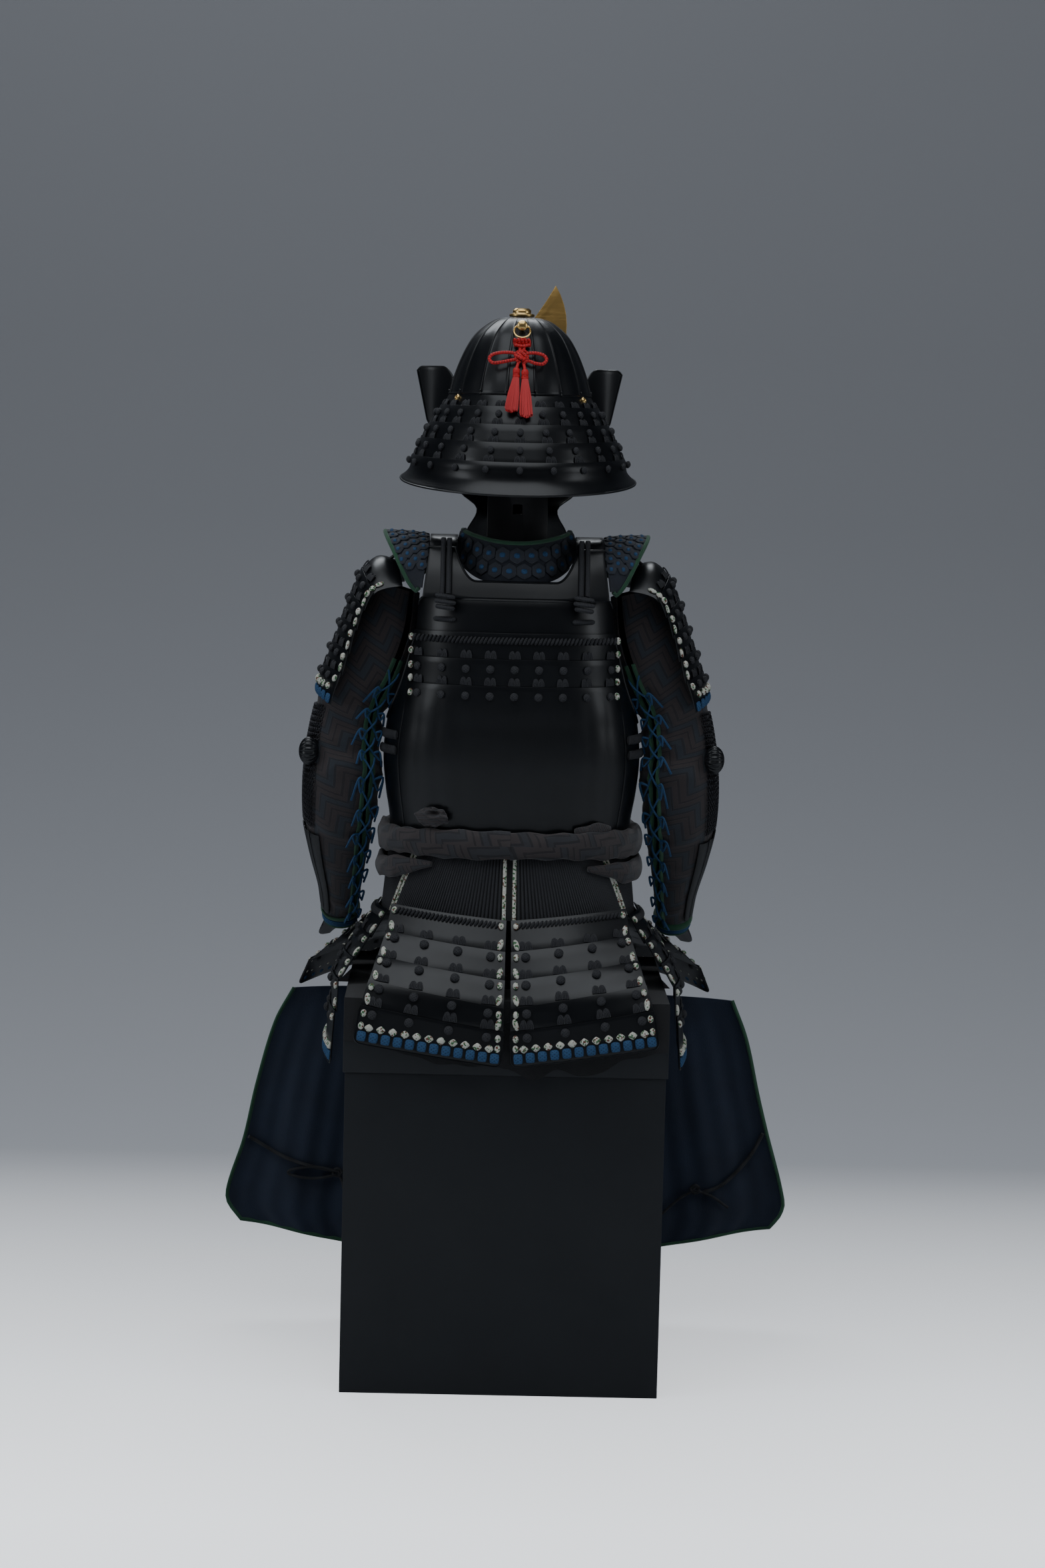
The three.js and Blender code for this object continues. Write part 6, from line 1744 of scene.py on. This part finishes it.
# Shield lacing: the same braid on the shoulder shields, with knots and humps in five columns, figured
# knots down both edges, and a blue row on the last lame.
shield_columns = [0.15, 0.3, 0.5, 0.7, 0.85]
for name, side in (("left", 1), ("right", -1)):
    knots, humps, ends, blues = [], [], [], []
    for k in range(5):
        place = shield_lame(side, k)
        for u in shield_columns:
            knots.append(set_down(large_ball, seated(place, u, 0.27, away_from_arm, 1.8), 0.85))
            if k < 4:
                humps.append(set_down(large_hump, seated(place, u, 0.9, away_from_arm, 0.4), 0.85))
        for u in (0.035, 0.965):
            ends.append(set_down(edge_knot, seated(place, u, 0.28, away_from_arm, 1.8)))
            if k < 4:
                ends.append(set_down(edge_oval, seated(place, u, 0.72, away_from_arm, 1.6), 0.8))
    place = shield_lame(side, 4)
    for i in range(11):
        u = mix(0.05, 0.95, i / 10)
        blues.append(set_down(blue_square, seated(place, u, 0.9, away_from_arm, 1.4), 0.95))
        if i < 10:
            ends.append(set_down(figured_diamond, seated(place, u + 0.045, 0.6, away_from_arm, 1.6), 0.95))
    cap = shield_lame(side, -1)
    for u in shield_columns:
        humps.append(set_down(large_hump, seated(cap, u, 0.9, away_from_arm, 0.4), 0.85))
    for u in (0.04, 0.96):
        ends.append(set_down(edge_oval, seated(cap, u, 0.6, away_from_arm, 1.6), 0.8))
        ends.append(set_down(edge_knot, seated(cap, u, 0.9, away_from_arm, 1.6)))
    finished(piece_of(f"shield_{name}_knots", knots), knot_braid, "black_braid")
    finished(piece_of(f"shield_{name}_humps", humps), black_braid, "black_braid")
    finished(piece_of(f"shield_{name}_figured_knots", ends), figured_braid, "figured_braid")
    finished(piece_of(f"shield_{name}_blue_squares", blues), blue_braid, "blue_braid")


# Hexagon plates on the collar and the wings: each is covered in dark cloth and held by a blue knot at
# its middle, with green piping along the free edges.
hexagon_cloth = thick_cloth("hexagon_cloth", (0.02, 0.024, 0.034), (0.03, 0.036, 0.05), 1500)
deselect()
bpy.ops.mesh.primitive_cylinder_add(vertices=6, radius=0.577, depth=0.16, end_fill_type="NGON")
hexagon = bpy.context.object
use_modifier(hexagon, "BEVEL", width=0.07, segments=2, limit_method="ANGLE", angle_limit=0.6)
hexagon_plate = part_of(hexagon)
blue_stud = knot_part(0.42, 0.36, 0.26, corner=3, segments=10, rings=6)


def hexagons(name, place, away, width, height, across, edge):
    """Rows of hexagon plates over a surface whose middle is that wide and high, in mm."""
    plates, studs = [], []
    rise = across * 0.866
    rows = int((height - across * 0.7) / rise) + 1
    for j in range(rows):
        v = (height / 2 + (j - (rows - 1) / 2) * rise) / height
        count = int((width - 2 * edge) / across)
        for i in range(-count // 2, count // 2 + 1):
            u = 0.5 + (i + (0.5 if j % 2 else 0)) * across / width
            if not edge / width <= u <= 1 - edge / width:
                continue
            matrix = seated(place, u, v, away, 0.9)
            plates.append(set_down(hexagon_plate, matrix, across * 0.97 * mm))
            studs.append(set_down(blue_stud, matrix @ Matrix.Translation((0, 0, 0.9 * mm)), across))
    finished(piece_of(f"{name}_hexagons", plates), hexagon_cloth, "brigandine")
    finished(piece_of(f"{name}_blue_knots", studs), blue_braid, "blue_braid")


hexagons("collar", collar_face, away_from_axis, 290, 50, 22, 34)
collar_edge = [collar_face(u, 0) for u in even(80)]
finished(piece_of("collar_piping", [tube_part(collar_edge, 3.2 * mm, 8)]), green_cloth, "green_binding")
for name, side in (("left", 1), ("right", -1)):
    place = wing_face(side)
    hexagons(f"wing_{name}", place, away_from_chest, 215, 56, 15.5, 26)
    wing_edge = [place(0, 0.5)] + [place(u, 1) for u in even(44)] + [place(1, 0.5)]
    wing_piping = piece_of(f"wing_piping_{name}", [tube_part(wing_edge, 3.2 * mm, 8)])
    finished(wing_piping, green_cloth, "green_binding")


# Shoulder cords: two braided cords at each side run down over the yoke to a knot, and a short one lies
# across the upper plate below it. Wound cords lie on the side plates.
def yoke_line(x, z, out):
    if z > 1157:
        lean = between(yoke_lean, z) - 20 * (x / 137) ** 2
    else:
        lean = body_point(0, z).y / mm - 6 * (x / 100) ** 2
    return Vector((x, lean + out, z)) * mm


cords = []
for middle in (103, -99):
    for x in (middle - 4.4, middle + 4.4):
        line = [Vector((x, 86, 1242)) * mm] + [yoke_line(x, z, 5.2) for z in (1228, 1205, 1180, 1162)]
        cords.append(tube_part(rounded(line, 4), 3.7 * mm, 8))
    for z, half, out in ((1159, 11.5, 9.5), (1151, 12.5, 11), (1143, 11, 9.5)):
        back = body_point(0, z).y / mm - 6 + out * 0.5
        line = [Vector((middle + half * math.cos(a), back + 4.4 * math.sin(a), z + 1.5 * math.cos(a))) * mm
                for a in full_turn(18)]
        cords.append(tube_part(line, 3.5 * mm, 7, closed=True))
    across = [(-13, -1), (-11, 3.5), (0, 5), (11, 3.5), (13, -1)]
    line = [body_seat(middle + x, 1125, out).translation for x, out in across]
    cords.append(tube_part(rounded(line, 3), 3.6 * mm, 8))
for side in (1, -1):
    for z in (951, 929):
        for i in range(11):
            degrees = side * mix(61, 82, i / 10)
            place = body_place(z - 20, z + 20)
            matrix = seated(place, 0.5 + degrees / 180, 0.5, away_from_axis, 3.0, 0.25 * side)
            cords.append(set_down(twist, matrix, 1.15))
finished(piece_of("shoulder_cords", cords), black_braid, "black_braid")


# Sleeve seams: both edges are bound with green and laced together with blue cord, whose knotted ends
# stand out, and the cuff has a broad green hem with blue cord wound round it.
for name, side in (("left", 1), ("right", -1)):
    chance = random.Random(11 if side > 0 else 12)
    rear, front = sleeve_seam - sleeve_gap, sleeve_seam + sleeve_gap
    def seam_point(degrees, v, out, side=side):
        crease = sleeve_creases((degrees + 360 - sleeve_seam - sleeve_gap) / (360 - 2 * sleeve_gap), v)
        return sleeve_point(side, degrees, v, crease * 0.7 + out)
    bindings = []
    for degrees in (rear, front):
        line = [seam_point(degrees, v, 0.6) for v in even(60, 0.16, 0.94)]
        bindings.append(tube_part(line, 4.2 * mm, 8, squash=0.6))
    hem = [sleeve_point(side, degrees, 0.955, 0.6) for degrees in even(40, 0, 360)[:-1]]
    bindings.append(tube_part(hem, 5.5 * mm, 8, closed=True, squash=0.5))
    rim = [sleeve_point(side, degrees, 0.995, 0.2) for degrees in even(40, 0, 360)[:-1]]
    bindings.append(tube_part(rim, 2.2 * mm, 6, closed=True))
    finished(piece_of(f"sleeve_bindings_{name}", bindings), green_cloth, "green_binding")
    laces = []
    for i in range(11):
        v = mix(0.22, 0.9, i / 10)
        for low, high, out in ((rear - 4, front + 4, 4), (front + 4, rear - 4, 6)):
            line = [seam_point(low, v - 0.03, 2.5), seam_point(mix(low, high, 0.3), v - 0.012, out),
                    seam_point(mix(low, high, 0.7), v + 0.012, out), seam_point(high, v + 0.03, 2.5)]
            laces.append(tube_part(rounded(line, 3), 1.6 * mm, 6))
        for toward in (-1, 1):
            start = seam_point(sleeve_seam + 9 * toward, v + 0.022, 4)
            bend = seam_point(sleeve_seam + (19 + chance.uniform(-2, 3)) * toward, v + 0.018, 9)
            reach, drop = 25 + chance.uniform(-4, 5), chance.uniform(0, 0.015)
            tip = seam_point(sleeve_seam + reach * toward, v + 0.055 + drop, 5)
            laces.append(tube_part(rounded([start, bend, tip], 4), 1.7 * mm, 6))
            back = seam_point(sleeve_seam + (16 + chance.uniform(-2, 3)) * toward, v + 0.045, 8)
            laces.append(tube_part(rounded([start, bend, back, start], 4), 1.5 * mm, 6))
    for v in (0.968, 0.976, 0.984):
        turn = [sleeve_point(side, degrees, v, 1.8) for degrees in even(40, 0, 360)[:-1]]
        laces.append(tube_part(turn, 1.7 * mm, 6, closed=True))
    finished(piece_of(f"sleeve_laces_{name}", laces), blue_braid, "blue_braid")


# Mail: fine black iron rings over the outside of each elbow, in rows that lean against each other in
# turn, sewn to the sleeve's cloth.
mail_iron = new_material("mail_iron", (0.045, 0.045, 0.05), 0.36, 0.85)[0]
mail_top, mail_end, mail_half_angle, mail_margin = 0.335, 0.64, 50, 5
mail_rows, mail_columns = 44, 19
ring_line = [Vector((2.9 * math.cos(a), 2.9 * math.sin(a), 0)) * mm for a in full_turn(8)]
mail_ring = tube_part(ring_line, 0.62 * mm, 4, closed=True)


def mail_place(side):
    reach = mail_half_angle + mail_margin
    def place(u, v):
        return sleeve_point(side, mix(-reach, reach, u), v, 0.0)
    return place


for name, side in (("left", 1), ("right", -1)):
    def away_from_elbow(point, side=side):
        return point - Vector((side * 0.24, 0, point.z))
    rings = []
    for j in range(mail_rows):
        v = mix(mail_top, mail_end, j / (mail_rows - 1))
        tilt = Matrix.Rotation(0.5 if j % 2 else -0.5, 4, "Y")
        for i in range(mail_columns):
            degrees = mix(-mail_half_angle, mail_half_angle, (i + (0.5 if j % 2 else 0)) / mail_columns)
            u = (degrees + mail_half_angle + mail_margin) / (2 * (mail_half_angle + mail_margin))
            matrix = seated(mail_place(side), u, v, away_from_elbow, 1.6)
            rings.append(set_down(mail_ring, matrix @ tilt))
    finished(piece_of(f"elbow_mail_{name}", rings), mail_iron, "mail")
